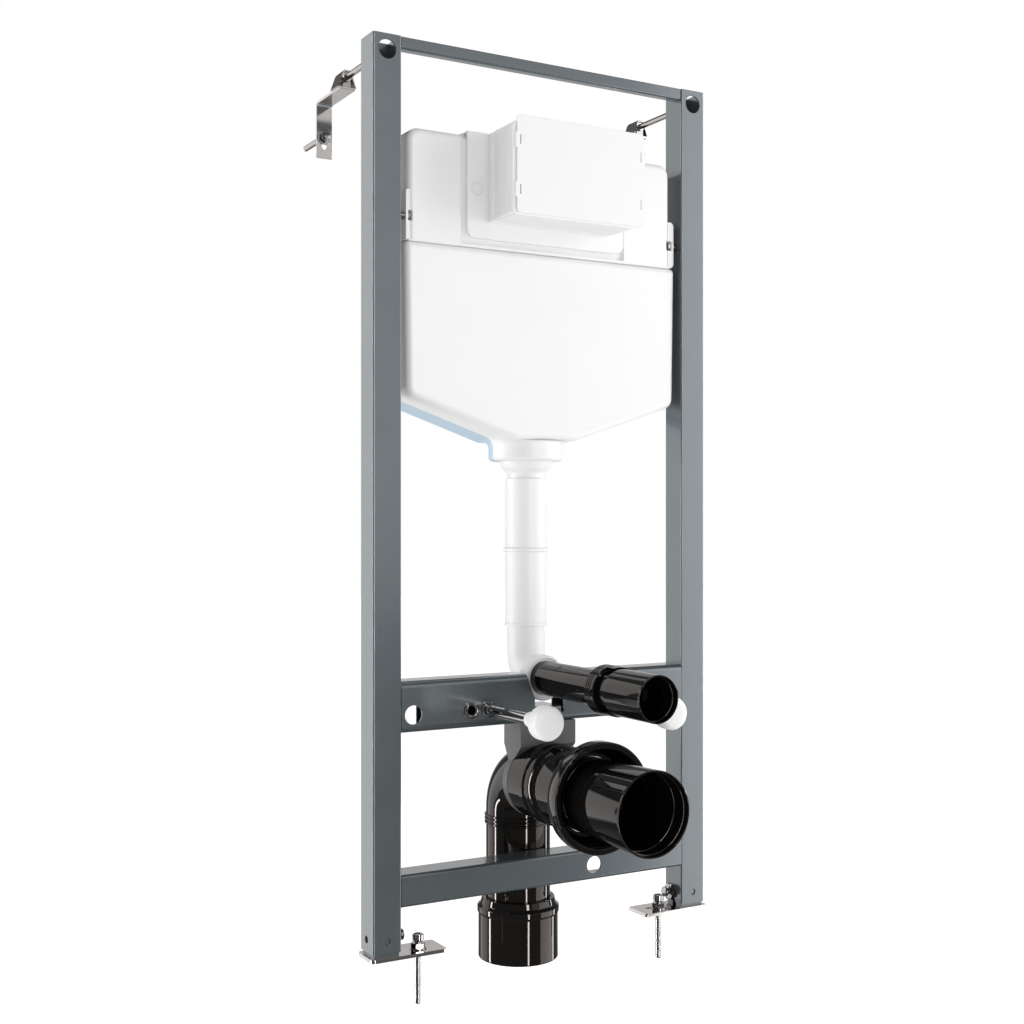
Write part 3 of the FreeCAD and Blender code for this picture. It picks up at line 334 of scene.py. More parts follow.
def blockInto(work, low, high):
    made = [work.verts.new(Vector((x, y, z)) * mm)
            for z in (low[2], high[2]) for y in (low[1], high[1]) for x in (low[0], high[0])]
    for face in ((0, 2, 3, 1), (4, 5, 7, 6), (0, 1, 5, 4), (2, 6, 7, 3), (0, 4, 6, 2), (1, 3, 7, 5)):
        work.faces.new([made[i] for i in face])


def prismInto(work, outline, long, matrix):
    # An outline of (x, y) pairs drawn out along z.
    low = [work.verts.new(matrix @ (Vector((x, y, 0)) * mm)) for x, y in outline]
    high = [work.verts.new(matrix @ (Vector((x, y, long)) * mm)) for x, y in outline]
    for index in range(len(outline)):
        after = (index + 1) % len(outline)
        work.faces.new((low[index], low[after], high[after], high[index]))
    work.faces.new(low[::-1])
    work.faces.new(high)


nutShape = {"cone": 1.02, "slope": 30, "least": 0.02}


def nutInto(work, flats, thick, bore, matrix, start=0.0, turned=0.0, steps=72):
    # A hexagon whose corners are turned off on a cone at both faces.
    apothem = flats / 2
    cone = apothem * nutShape["cone"]
    slope = math.tan(math.radians(nutShape["slope"]))

    def level(radiusOf, heightOf):
        made = []
        for step in range(steps):
            angle = fullTurn * step / steps
            corner = apothem / math.cos((angle + math.pi / 6) % (math.pi / 3) - math.pi / 6)
            drop = max(nutShape["least"], (corner - cone) * slope)
            made.append(work.verts.new(matrix @ around(radiusOf(corner), angle + turned, heightOf(drop))))
        return made

    levels = [level(lambda corner: min(corner, cone), lambda drop: start),
              level(lambda corner: corner, lambda drop: start + drop),
              level(lambda corner: corner, lambda drop: start + thick - drop),
              level(lambda corner: min(corner, cone), lambda drop: start + thick)]
    if bore:
        levels.append(level(lambda corner: bore, lambda drop: start + thick))
        levels.append(level(lambda corner: bore, lambda drop: start))
    else:
        work.faces.new(levels[0][::-1])
        work.faces.new(levels[-1])
    for index in range(len(levels) if bore else len(levels) - 1):
        low, high = levels[index], levels[(index + 1) % len(levels)]
        for step in range(steps):
            after = (step + 1) % steps
            work.faces.new((low[step], low[after], high[after], high[step]))


def washerProfile(bore, outer, start, thick, slope):
    end, face = start + thick, outer - 0.3
    return [(bore, start), (face, start), (outer, start + slope), (outer, end - slope), (face, end),
            (bore, end)]


def roundedOutline(left, low, right, high, radius, steps=6):
    outline = []
    for x, y, first in ((right - radius, high - radius, 0), (left + radius, high - radius, 1),
                        (left + radius, low + radius, 2), (right - radius, low + radius, 3)):
        for step in range(steps + 1):
            angle = quarterTurn * (first + step / steps)
            outline.append((x + radius * math.cos(angle), y + radius * math.sin(angle)))
    return outline


def plateFrom(name, outlines, thick, matrix, edge=0.3):
    # A sheet with holes: the first outline is its rim, the others are cut out. It lies from z 0 to thick.
    curve = bpy.data.curves.new(name, "CURVE")
    curve.dimensions = "2D"
    curve.fill_mode = "BOTH"
    curve.extrude = (thick / 2 - edge) * mm
    curve.bevel_depth = edge * mm
    curve.bevel_resolution = 1
    curve.offset = -edge * mm
    for outline in outlines:
        spline = curve.splines.new("POLY")
        spline.points.add(len(outline) - 1)
        for point, (x, y) in zip(spline.points, outline):
            point.co = (x * mm, y * mm, 0, 1)
        spline.use_cyclic_u = True
    holder = bpy.data.objects.new(name + "Curve", curve)
    bpy.context.scene.collection.objects.link(holder)
    ready = bpy.context.evaluated_depsgraph_get()
    mesh = bpy.data.meshes.new_from_object(holder.evaluated_get(ready))
    bpy.data.objects.remove(holder)
    mesh.name = name
    mesh.transform(matrix @ Matrix.Translation((0, 0, thick / 2 * mm)))
    mesh.materials.clear()
    return mesh


def edgesOf(name):
    low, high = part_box(name)
    return low / mm, high / mm


def middleOf(name):
    low, high = edgesOf(name)
    return (low + high) / 2


# Where the main axes run, read from the frame
midX, flushY = middleOf("flush_pipe").x, middleOf("flush_pipe").y
flushZ = middleOf("flush_spigot").z
soilZ = middleOf("pan_spigot").z
soilY = middleOf("soil_socket").y
studZ = middleOf("left_stud").z
print("axes: x %.1f, flush y %.1f z %.1f, soil y %.1f z %.1f" % (midX, flushY, flushZ, soilY, soilZ))


# Flush pipe, its nut and the split collar under the cistern

flushPipe = {"outer": 27.5, "inner": 25.5, "foot": 28.6, "footLong": 3, "footSlope": 1.2,
             "ringAt": 99, "ring": 30.3, "ringLong": 4, "ringSlope": 1, "topGap": 2.5}


def makeFlushPipe(s):
    low = edgesOf("flush_pipe")[0].z
    foot, ring = low + s["footLong"], low + s["ringAt"]
    top, ringEnd = edgesOf("flush_nut")[0].z + s["topGap"], ring + s["ringLong"]
    profile = [(s["inner"], low), (s["foot"], low), (s["foot"], foot), (s["outer"], foot + s["footSlope"]),
               (s["outer"], ring - s["ringSlope"]), (s["ring"], ring), (s["ring"], ringEnd),
               (s["outer"], ringEnd + s["ringSlope"]), (s["outer"], top), (s["inner"], top)]
    turnedPiece("flushPipe", profile, (midX, flushY, 0), upright, "white_shell", ("flush_pipe",), 0.6)


flushNut = {"neck": 24.4, "bore": 22.5, "neckDown": 6, "neckUp": 20,
            "drops": ((24.6, 17.5), (26.4, 14.3), (29.2, 11.9), (32.0, 9.4), (34.4, 5.6), (35.7, 2.4),
                      (36.2, 0.0))}


def makeFlushNut(s):
    # A bell that narrows into the end of the pipe; drops lists its radius at each depth below the collar.
    low, high = (edge.z for edge in edgesOf("flush_nut"))
    foot = low - s["neckDown"]
    profile = [(s["bore"], foot), (s["neck"], foot), (s["neck"], high - s["neckUp"])]
    profile += [(radius, high - drop) for radius, drop in s["drops"]] + [(s["bore"], high)]
    turnedPiece("flushNut", profile, (midX, flushY, 0), upright, "white_shell", ("flush_nut",), 0)


collar = {"outer": 50, "bore": 27.8, "foot": 5.0, "flareFront": 3.5, "flareSide": 11, "slope": 0.342,
          "bottomHalf": 46, "arcs": 6, "steps": 64}


def makeCollar(s):
    # Two halves with a rounded foot; the top flares out and follows the sloping bottom of the cistern.
    low, high = (edge.z for edge in edgesOf("outlet_front"))
    outer, foot, arcs = s["outer"], s["foot"], s["arcs"]
    profile = [(s["bore"], low)]
    for step in range(arcs + 1):
        lean = quarterTurn * step / arcs
        profile.append((outer - foot + foot * math.sin(lean), low + foot - foot * math.cos(lean)))
    flareStart = len(profile)
    profile += [(outer, high)] * (arcs + 1) + [(s["bore"], high)]

    def flare(index, angle, radius, height):
        if not flareStart <= index <= flareStart + arcs:
            return radius, height
        lean = quarterTurn * (index - flareStart) / arcs
        side = abs(math.cos(angle))
        reach = s["flareFront"] + (s["flareSide"] - s["flareFront"]) * side ** 2
        r = outer + reach * (1 - math.cos(lean))
        rise = max(0.0, (r * side - s["bottomHalf"]) * s["slope"])
        return r, high - reach + reach * math.sin(lean) + rise
    for name, node, slotName, first in (("outletFront", "outlet_front", "white_shell", math.pi),
                                        ("outletRear", "outlet_rear", "blue_shell", 0.0)):
        turnedPiece(name, profile, (midX, flushY, 0), upright, slotName, (node,), 0, s["steps"], flare,
                    first, math.pi)


def sweepInto(work, track, outer, inner, steps=72):
    # A pipe along a track in the YZ plane; the track lists (y, z, direction angle from +Y).
    side = Vector((1, 0, 0))
    rings = []
    for radius in (outer, inner):
        made = []
        for y, z, lean in track:
            centre, up = Vector((midX, y, z)), Vector((0, -math.sin(lean), math.cos(lean)))
            ring = []
            for k in range(steps):
                turn = fullTurn * k / steps
                rim = centre + radius * (side * math.cos(turn) + up * math.sin(turn))
                ring.append(work.verts.new(rim * mm))
            made.append(ring)
        rings.append(made)
    for made in rings:
        for near, far in zip(made[:-1], made[1:]):
            for k in range(steps):
                after = (k + 1) % steps
                work.faces.new((near[k], near[after], far[after], far[k]))
    for end in (0, -1):
        for k in range(steps):
            after = (k + 1) % steps
            work.faces.new((rings[0][end][k], rings[1][end][k], rings[1][end][after], rings[0][end][after]))


def bendTrack(y, z, turn, start, end, arcSteps):
    # From height start down or up to the turn, then level towards the front until depth end.
    sign = 1 if start > z else -1
    track = [(y, start, -sign * quarterTurn), (y, z + sign * turn, -sign * quarterTurn)]
    for step in range(1, arcSteps):
        t = quarterTurn * step / arcSteps
        track.append((y - turn + turn * math.cos(t), z + sign * (turn - turn * math.sin(t)),
                      -sign * (quarterTurn + t)))
    return track + [(y - turn, z, math.pi), (end, z, math.pi)]


flushElbow = {"outer": 25.2, "inner": 22.5, "turn": 32, "arcSteps": 20,
              "collar": ((25.5, 0), (28.5, 0), (29.8, 2), (29.8, 16), (28, 19), (25.5, 19))}


def makeFlushElbow(s):
    low, high = edgesOf("flush_elbow")
    track = bendTrack(flushY, flushZ, s["turn"], high.z, low.y, s["arcSteps"])
    builtPiece("flushElbow", lambda work: sweepInto(work, track, s["outer"], s["inner"]),
               "white_shell", ("flush_elbow",), 0.5)
    turnedPiece("elbowCollar", s["collar"], (midX, edgesOf("elbow_collar")[1].y, flushZ), toFront,
                "white_shell", ("elbow_collar",), 0.6)


flushOutlet = {"bore": 22.5, "linkOuter": 22.2, "linkBore": 20, "neck": 24.7, "neckLong": 15.3, "outer": 28.5,
               "wall": 2, "lip": 10, "lipRise": 1.1, "lipHalf": 1.3, "stepFront": 30, "stepBack": 26}


def makeFlushOutlet(s):
    low, high = edgesOf("flush_connector")
    long = high.y - low.y
    link = [(s["linkBore"], 0), (s["linkOuter"], 0), (s["linkOuter"], long), (s["linkBore"], long)]
    turnedPiece("flushConnector", link, (midX, high.y, flushZ), toFront, "black_pipe",
                ("flush_connector",), 0.4)
    low, high = edgesOf("flush_spigot")
    tip, neck, neckLong, outer = high.y - low.y, s["neck"], s["neckLong"], s["outer"]
    mouth = outer - s["wall"]
    profile = [(s["bore"], 0), (neck, 0), (neck, neckLong), (outer - 0.4, neckLong), (outer, neckLong + 0.6),
               (outer, tip - 1.2), (outer - 0.6, tip), (outer - 1.6, tip), (mouth, tip - 0.8)]
    profile += innerRing(mouth, tip - s["lip"], s["lipRise"], s["lipHalf"])
    profile += [(mouth, s["stepFront"]), (s["bore"], s["stepBack"])]
    turnedPiece("flushSpigot", profile, (midX, high.y, flushZ), toFront, "black_pipe", ("flush_spigot",),
                0, fineSteps)


ringNut = {"bore": 22.5, "rim": 30.7, "long": 19, "groove": 0.6, "grooves": 3, "grooveAt": 3.2,
           "groovePitch": 4.2, "tongueIn": 28.8, "tongueOut": 30.2, "tongueEnd": 33.6, "tongueEdge": 0.5,
           "tongueAt": 80, "tongueHalf": 26, "tongueSteps": 28}


def makeRingNut(s):
    # A grooved nut with two tongues that reach over the spigot.
    where = placed((midX, edgesOf("flush_ring_nut")[1].y, flushZ), toFront)
    rim, groove, long = s["rim"], s["groove"], s["long"]
    profile = [(s["bore"], 0), (rim - 0.9, 0), (rim, 0.9)]
    for index in range(s["grooves"]):
        at = s["grooveAt"] + s["groovePitch"] * index
        profile += [(rim, at), (rim - groove, at + 0.4), (rim - groove, at + 1.5), (rim, at + 1.9)]
    profile += [(rim, long - 0.7), (rim - 0.6, long), (s["bore"], long)]
    inside, outside, end, edge = s["tongueIn"], s["tongueOut"], s["tongueEnd"], s["tongueEdge"]
    tongue = [(inside, long - edge), (outside, long - edge), (outside, end - edge), (outside - edge, end),
              (inside, end)]

    def build(work):
        latheInto(work, profile, where, fineSteps)
        for flip in (0, 180):
            first = math.radians(s["tongueAt"] + flip - s["tongueHalf"])
            latheInto(work, tongue, where, s["tongueSteps"], None, first, math.radians(2 * s["tongueHalf"]))
    builtPiece("flushRingNut", build, "black_pipe", ("flush_ring_nut",))


makeFlushPipe(flushPipe)
makeFlushNut(flushNut)
makeCollar(collar)
makeFlushElbow(flushElbow)
makeFlushOutlet(flushOutlet)
makeRingNut(ringNut)
print("flush pipe and outlet done")


# Soil pipe and pan connector

soilBend = {"outer": 43.4, "inner": 40.4, "turn": 46, "arcSteps": 28, "bead": 50.5, "beadStart": 5,
            "beadEnd": -26, "rib": 2.2, "ribs": 3, "ribPitch": 5}


def makeSoilBend(s):
    start, end = edgesOf("soil_bend")[0].z, edgesOf("soil_bend")[0].y
    track = bendTrack(soilY, soilZ, s["turn"], start, end, s["arcSteps"])
    outer, inner = s["outer"], s["outer"] - 1

    def build(work):
        sweepInto(work, track, outer, s["inner"], 96)
        long = s["beadStart"] - s["beadEnd"]
        bead = [(inner, 0), (s["bead"] - 1.5, 0), (s["bead"], 1.5), (s["bead"], long), (inner, long)]
        latheInto(work, bead, placed((midX, s["beadStart"], soilZ), toFront))
        for index in range(s["ribs"]):
            z, top = start + s["ribPitch"] * index, outer + s["rib"]
            rib = [(inner, z), (top - 0.6, z), (top, z + 0.8), (top, z + 2.2), (top - 0.6, z + 3),
                   (inner, z + 3)]
            latheInto(work, rib, placed((midX, soilY, 0)))
    builtPiece("soilBend", build, "black_pipe", ("soil_bend",), 0.5)
    low, high = edgesOf("soil_pipe")
    pipe = [(s["inner"], low.z), (outer, low.z), (outer, high.z), (s["inner"], high.z)]
    turnedPiece("soilPipe", pipe, (midX, soilY, 0), upright, "black_pipe", ("soil_pipe",))


soilSocket = {"outer": 53.8, "inner": 49.8, "bore": 43.7, "high": 60, "bead": 1.5, "neckLong": 21}


def makeSoilSocket(s):
    foot, outer, inner, bore = edgesOf("soil_socket")[0].z, s["outer"], s["inner"], s["bore"]
    high, bead = foot + s["high"], outer + s["bead"]
    top = high + s["neckLong"]
    profile = [(inner + 0.8, foot), (outer - 0.8, foot), (outer, foot + 1.2), (outer, high), (bead, high + 2),
               (bead, high + 9), (outer - 2.8, high + 13), (outer - 4.8, top), (bore, top), (bore, high),
               (inner, high - 4), (inner, foot + 1.5)]
    turnedPiece("soilSocket", profile, (midX, soilY, 0), upright, "black_pipe", ("soil_socket",),
                0.7, fineSteps)


panConnector = {
    "sleeve": ((43.7, 0), (51.4, 0), (52, 0.8), (52, 9), (49.5, 12), (49.5, 16), (52, 19), (52, 27),
               (49, 33), (47, 36)),
    "thin": 47, "bore": 43.7,
    "flange": ((47.3, 0), (58, 0), (61, 4), (69, 18), (69, 35), (68.2, 36), (61.8, 36), (61, 35), (61, 20),
               (52, 4), (47.3, 4)),
    "spigotBore": 43, "back": 46.5, "front": 51.3, "wall": 2.5, "stepShare": 0.4, "stepLong": 4,
    "lips": (9, 27), "lipRise": 1.3, "lipHalf": 1.5}


def makePanConnector(s):
    sleeveBack, spigotBack = edgesOf("pan_sleeve")[1].y, edgesOf("pan_spigot")[1].y
    long = sleeveBack - spigotBack
    sleeve = s["sleeve"] + ((s["thin"], long), (s["bore"], long))
    turnedPiece("panSleeve", sleeve, (midX, sleeveBack, soilZ), toFront, "black_pipe", ("pan_sleeve",),
                0.7, fineSteps)
    turnedPiece("panFlange", s["flange"], (midX, edgesOf("pan_flange")[1].y, soilZ), toFront, "black_pipe",
                ("pan_flange",), 0.7, fineSteps)
    long = spigotBack - edgesOf("pan_spigot")[0].y
    step, front = long * s["stepShare"], s["front"]
    stepIn = s["back"] + (front - s["back"]) * s["stepShare"] - s["wall"]
    mouth = front - s["wall"]
    profile = [(s["spigotBore"], 0), (s["back"], 0), (front, long - 1.4), (front - 0.4, long - 0.4),
               (front - 1, long), (mouth + 0.7, long), (mouth + 0.1, long - 0.8)]
    for lip in s["lips"]:
        at = long - lip
        wall = stepIn + (mouth - stepIn) * (at - step) / (long - step)
        profile += innerRing(wall, at, s["lipRise"], s["lipHalf"])
    profile += [(stepIn, step), (s["spigotBore"], step - s["stepLong"])]
    turnedPiece("panSpigot", profile, (midX, spigotBack, soilZ), toFront, "black_pipe", ("pan_spigot",),
                0, fineSteps)


makeSoilBend(soilBend)
makeSoilSocket(soilSocket)
makePanConnector(panConnector)
print("soil pipe and pan connector done")


# Pan studs with their rail nuts and caps

studSet = {"rod": 6, "root": 5.3, "pitch": 1.75, "sleeve": 7.5, "railFront": -19, "bareLong": 10.6,
           "threadFrom": 3, "sleeveGap": 0.6, "nutOuter": 10.32, "nutThick": 4, "nutBore": 6.3,
           "nutRoot": 6.9, "nutPitch": 1.3,
           "cap": ((6.3, 0), (7.8, 0), (8.6, 0.5), (9.2, 1.5), (9.4, 3), (9.4, 15), (9.7, 17.2), (10.5, 19),
                   (12.6, 21.2), (19.0, 27.4), (20.2, 29.7), (20.8, 33), (20.8, 43.2), (20.5, 45.2),
                   (19.6, 47.1), (18.0, 48.5), (15.4, 49.4), (11, 49.85), (0, 50), (0, 48), (6.3, 47))}


def threadOf(low, high, crest, root, pitch):
    # Ring by ring, the outline of a thread between two heights.
    turns = max(1, int((high - low) / pitch))
    outline = []
    for index in range(turns):
        at = low + (high - low) * index / turns
        outline += [(crest, at + pitch * 0.15), (root, at + pitch * 0.5), (root, at + pitch * 0.6),
                    (crest, at + pitch * 0.95)]
    return outline


def makeStud(s, side):
    low, high = edgesOf(side + "_stud")
    x, back, long = (low.x + high.x) / 2, high.y, high.y - low.y
    capBack = edgesOf(side + "_stud_cap")[1].y
    face = back - s["railFront"]
    first, last = face + s["bareLong"], back - capBack - s["sleeveGap"]
    rod, sleeve = s["rod"], s["sleeve"]
    thread = threadOf(face + s["threadFrom"], first, rod, s["root"], s["pitch"])
    profile = [(0, 0), (rod, 0)] + thread + [
        (sleeve - 0.4, first), (sleeve, first + 0.5), (sleeve, last - 0.5), (sleeve - 0.4, last),
        (rod, last), (rod, long), (0, long)]
    turnedPiece(side + "Stud", profile, (x, back, studZ), toFront, "bright_fixing", (side + "_stud",), 0, 64)
    turnedPiece(side + "StudCap", s["cap"], (x, capBack, studZ), toFront, "white_shell",
                (side + "_stud_cap",), 0)
    bore = threadOf(0, s["nutThick"], s["nutRoot"], s["nutBore"], s["nutPitch"])
    outer, thick = s["nutOuter"], s["nutThick"]
    ring = [(outer - 0.3, 0), (outer, 0.4), (outer, 2.4), (outer - 0.3, 2.8), (8.7, thick), (7.2, thick)]
    for piece, node in (("StudNut", "_stud_nut"), ("SpareNut", "_spare_nut")):
        centre = (middleOf(side + node).x, edgesOf(side + node)[1].y, studZ)
        turnedPiece(side + piece, ring + bore[::-1], centre, toFront, "bright_fixing", (side + node,), 0, 72)


for side in ("left", "right"):
    makeStud(studSet, side)
print("studs, nuts and caps done")


# Anchors, lock bolts and wall fixings

anchorSet = {"shank": 4.05, "neck": 4.5, "grooveAt": 22.9, "plate": 4.5, "washer": 10.3, "washerThick": 1.7,
             "nutFlats": 16, "nutThick": 5.9, "nutTurn": 20, "head": 7.2, "headFrom": 10.2, "headTo": 18.4}


def makeAnchor(s, side):
    low, high = edgesOf(side + "_floor_anchor")
    where = placed(((low.x + high.x) / 2, (low.y + high.y) / 2, 0))
    foot, top, shank, neck, head = low.z, s["plate"], s["shank"], s["neck"], s["head"]
    groove, under, over = foot + s["grooveAt"], top + s["headFrom"], top + s["headTo"]
    profile = [(0, foot), (shank - 1, foot), (shank, foot + 1.2), (shank, groove),
               (shank - 0.6, groove + 0.4), (shank - 0.6, groove + 1.4), (shank, groove + 1.8), (shank, 1),
               (neck, 1.2), (neck, under - 1), (neck + 0.6, under), (head - 0.5, under + 0.5),
               (head, under + 1.1), (head, over - 1.2), (head - 0.4, over - 0.4), (head - 1.2, over),
               (head - 2.2, over - 0.3), (head - 2.8, over - 1.1), (0, over - 1.3)]
    bore = neck - 0.3

    def build(work):
        latheInto(work, profile, where, 64)
        latheInto(work, washerProfile(bore, s["washer"], top, s["washerThick"], 0.4), where, 72)
        nutFoot = top + s["washerThick"] + 0.1
        nutInto(work, s["nutFlats"], s["nutThick"], bore, where, nutFoot, math.radians(s["nutTurn"]))
    builtPiece(side + "FloorAnchor", build, "bright_fixing", (side + "_floor_anchor",), 0, side + "_foot")


lockSet = {"shaft": 4, "nutFlats": 19, "nutThick": 5, "nutFrom": 2, "head": 7, "headFrom": 11}


def makeLockBolt(s, side, inward):
    low, high = edgesOf(side + "_lock_bolt")
    start = low.x if inward > 0 else high.x
    turn = Matrix.Rotation(quarterTurn * inward, 4, "Y")
    where = placed((start, (low.y + high.y) / 2, (low.z + high.z) / 2), turn)
    shaft, head, at = s["shaft"], s["head"], s["headFrom"]
    profile = [(0, 0), (shaft, 0), (shaft, at), (head - 0.6, at), (head, at + 0.6), (head, at + 2.6),
               (head - 0.7, at + 3.3), (head - 2.4, at + 3.8), (0, at + 4)]

    def build(work):
        latheInto(work, profile, where, 64)
        nutInto(work, s["nutFlats"], s["nutThick"], shaft - 0.2, where, s["nutFrom"])
    builtPiece(side + "LockBolt", build, "bright_fixing", (side + "_lock_bolt",))


screwSet = {"rod": 4, "tip": 2.6, "tipLong": 2.5, "washer": 10.3, "washerThick": 1.5, "headFlats": 13,
            "headThick": 4.4, "strapThick": 3, "domeAt": 5.8,
            "dome": ((6.1, 0), (5.2, 1.0), (3, 1.5), (0, 1.7))}


def makeWallScrew(s, side):
    strapBack = edgesOf(side + "_wall_strap")[1].y
    end, middle = edgesOf(side + "_wall_screw")[1].y, middleOf(side + "_wall_screw")
    where = placed((middle.x, end, middle.z), toFront)
    rod, reach = s["rod"], end - strapBack + s["strapThick"]
    dome = [(0, reach + s["domeAt"])] + [(radius, reach + s["domeAt"] + at) for radius, at in s["dome"]]

    def build(work):
        shaft = [(0, 0), (s["tip"], 0), (rod, s["tipLong"]), (rod, reach + 3), (0, reach + 3)]
        latheInto(work, shaft, where, 48)
        latheInto(work, washerProfile(rod - 0.3, s["washer"], reach, s["washerThick"], 0.3), where, 64)
        nutInto(work, s["headFlats"], s["headThick"], 0, where, reach + s["washerThick"])
        latheInto(work, dome, where, 48)
    builtPiece(side + "WallScrew", build, "bright_fixing", (side + "_wall_screw",))


wallRod = {"radius": 4, "z": 1112, "nutFlats": 13, "nutThick": 5, "nutDepth": 24,
           "saddleHalf": 5.5, "saddleFrom": 108, "saddleTo": 130}


def makeWallRod(s, side):
    low, high = edgesOf(side + "_wall_rod")
    x, radius, long = middleOf(side + "_wall_screw").x, s["radius"], high.y - low.y
    where = placed((x, high.y, s["z"]), toFront)

    def build(work):
        rod = [(0, 0), (radius - 0.8, 0), (radius, 0.8), (radius, long), (0, long)]
        latheInto(work, rod, where, 64)
        nutInto(work, s["nutFlats"], s["nutThick"], radius - 0.2, where, high.y - s["nutDepth"])
        half = s["saddleHalf"]
        blockInto(work, (x - half, s["saddleFrom"], low.z), (x + half, s["saddleTo"], s["z"]))
    builtPiece(side + "WallRod", build, "bright_fixing", (side + "_wall_rod",))


wallClip = {"back": 132.5, "long": 27,
            "roof": ((-13, 0), (-6.2, 19.0), (-3.6, 22.5), (3.6, 22.5), (6.2, 19.0), (13, 0),
                     (10.9, 0), (4.6, 17.6), (2.8, 20.5), (-2.8, 20.5), (-4.6, 17.6), (-10.9, 0)),
            "collar": ((3.8, -3), (6.0, -3), (6.3, -2.6), (6.3, -0.6), (5.9, 0), (3.8, 0))}


def makeWallClip(s, side):
    # A sheet folded like a roof over the rod, with a collar where the rod leaves it.
    x, foot = middleOf(side + "_wall_screw").x, edgesOf(side + "_wall_strap")[1].z
    ring = [(radius, s["long"] + at) for radius, at in s["collar"]]

    def build(work):
        prismInto(work, s["roof"], s["long"], placed((x, s["back"], foot), toFront))
        latheInto(work, ring, placed((x, s["back"], wallRod["z"]), toFront), 48)
    builtPiece(side + "WallClip", build, "zinc_plate", (side + "_wall_clip",), 0.3)


for side, inward in (("left", 1), ("right", -1)):
    makeAnchor(anchorSet, side)
    makeLockBolt(lockSet, side, inward)
    makeWallScrew(screwSet, side)
    makeWallRod(wallRod, side)
    makeWallClip(wallClip, side)
print("fixings done")


# Frame, cistern and access box details

footHole = {"z": 23.8, "radius": 4.55, "deep": 1.6, "thick": 0.3, "steps": 40}


def makeFootHole(s, side):
    # The blank behind the hole at the foot of each post.
    disc = [(0, 0), (s["radius"], 0), (s["radius"], s["thick"]), (0, s["thick"])]
    back = edgesOf(side + "_post")[0].y + s["deep"] + s["thick"]
    turnedPiece(side + "FootHole", disc, (middleOf(side + "_leg").x, back, s["z"]), toFront, "frame_paint",
                (), 0, s["steps"])


rightPlate = {"corner": 3.5, "thick": 4.5, "anchorHole": 5.2, "holeSteps": 32,
              "slot": (397.5, -2.0, 406.5, 3.6), "slotCorner": 2.6}


def makeRightPlate(s):
    # The right foot plate has a small slot beside its anchor.
    low, high = edgesOf("right_foot_plate")
    anchor, radius = middleOf("right_floor_anchor"), s["anchorHole"]
    hole = []
    for k in range(s["holeSteps"]):
        turn = fullTurn * k / s["holeSteps"]
        hole.append((anchor.x + radius * math.cos(turn), anchor.y + radius * math.sin(turn)))
    outlines = [roundedOutline(low.x, low.y, high.x, high.y, s["corner"]), hole,
                roundedOutline(*s["slot"], s["slotCorner"])]
    mesh = plateFrom("rightFootPlate", outlines, s["thick"], upright)
    keepPiece("rightFootPlate", mesh, "right_foot", "zinc_plate", ("right_foot_plate",), 0)


topRail = {"gap": 0.6, "round": 3.2, "topRound": 0.8, "steps": 6}


def makeTopRail(s):
    # The rail's rounded lower edges, with a fine joint at each post.
    low, high = edgesOf("top_rail")
    outline = []
    for y, z, radius, quarter in ((high.y, high.z, s["topRound"], 0), (low.y, high.z, s["topRound"], 1),
                                  (low.y, low.z, s["round"], 2), (high.y, low.z, s["round"], 3)):
        middleY = y - radius if quarter in (0, 3) else y + radius
        middleZ = z - radius if quarter < 2 else z + radius
        for step in range(s["steps"] + 1):
            angle = quarterTurn * (quarter + step / s["steps"])
            outline.append((middleY + radius * math.cos(angle), middleZ + radius * math.sin(angle)))
    start, long = low.x + s["gap"], high.x - low.x - 2 * s["gap"]
    builtPiece("topRail", lambda work: prismInto(work, outline, long, placed((start, 0, 0), toRight)),
               "frame_paint", ("top_rail",))


cisternSeam = {"inset": 0.35, "thick": 1.9, "lip": -0.8, "left": 4, "right": 8, "back": 2}


def makeCisternSeam(s):
    # A gasket in the joint between the lower and the upper front shell.
    low, high = edgesOf("cistern_upper")
    foot = edgesOf("cistern_lower")[1].z + s["lip"]
    near = (low.x + s["left"], low.y + s["inset"], foot)
    far = (high.x - s["right"], high.y - s["back"], foot + s["thick"])
    builtPiece("cisternSeam", lambda work: blockInto(work, near, far), "white_shell")


ribSet = {"count": 13, "pitch": 3.85, "thick": 1.9, "proud": 1.6, "sunk": 0.5, "corner": 1.5, "fromLid": 0.1,
          "filler": (0.4, 1.6), "fillerEdge": 1}


def makeBoxRibs(s):
    # Fine ribs round the access box where it is cut to length, and the thin filler behind its lid.
    low, high = edgesOf("access_box")
    proud, sunk, corner, rim = s["proud"], s["sunk"], s["corner"], s["fillerEdge"]

    def build(work):
        for index in range(s["count"]):
            y = low.y + s["fromLid"] + s["pitch"] * index
            end = y + s["thick"]
            blockInto(work, (low.x - proud, y, low.z + corner), (low.x + sunk, end, high.z - corner))
            blockInto(work, (high.x - sunk, y, low.z + corner), (high.x + proud, end, high.z - corner))
            blockInto(work, (low.x + corner, y, low.z - proud), (high.x - corner, end, low.z + sunk))
            blockInto(work, (low.x + corner, y, high.z - sunk), (high.x - corner, end, high.z + proud))
        front, back = s["filler"]
        blockInto(work, (low.x + rim, low.y + front, low.z + rim), (high.x - rim, low.y + back, high.z - rim))
    builtPiece("accessBoxRibs", build, "white_shell", (), 0.25)


baseMark = {"x": 125.7, "z": 956.4, "ring": 8.2, "width": 0.9, "proud": 1.6, "sunk": 0.5, "edge": 0.2}


def makeBaseMark(s):
    # The ring of a moulded screw post on the access plate.
    ring, bore, proud, edge = s["ring"], s["ring"] - s["width"], s["proud"], s["edge"]
    profile = [(bore, -s["sunk"]), (ring, -s["sunk"]), (ring, proud - edge), (ring - edge, proud),
               (bore + edge, proud), (bore, proud - edge)]
    turnedPiece("accessPlateRing", profile, (s["x"], edgesOf("access_base")[0].y, s["z"]), toFront,
                "white_shell", (), 0, 64)


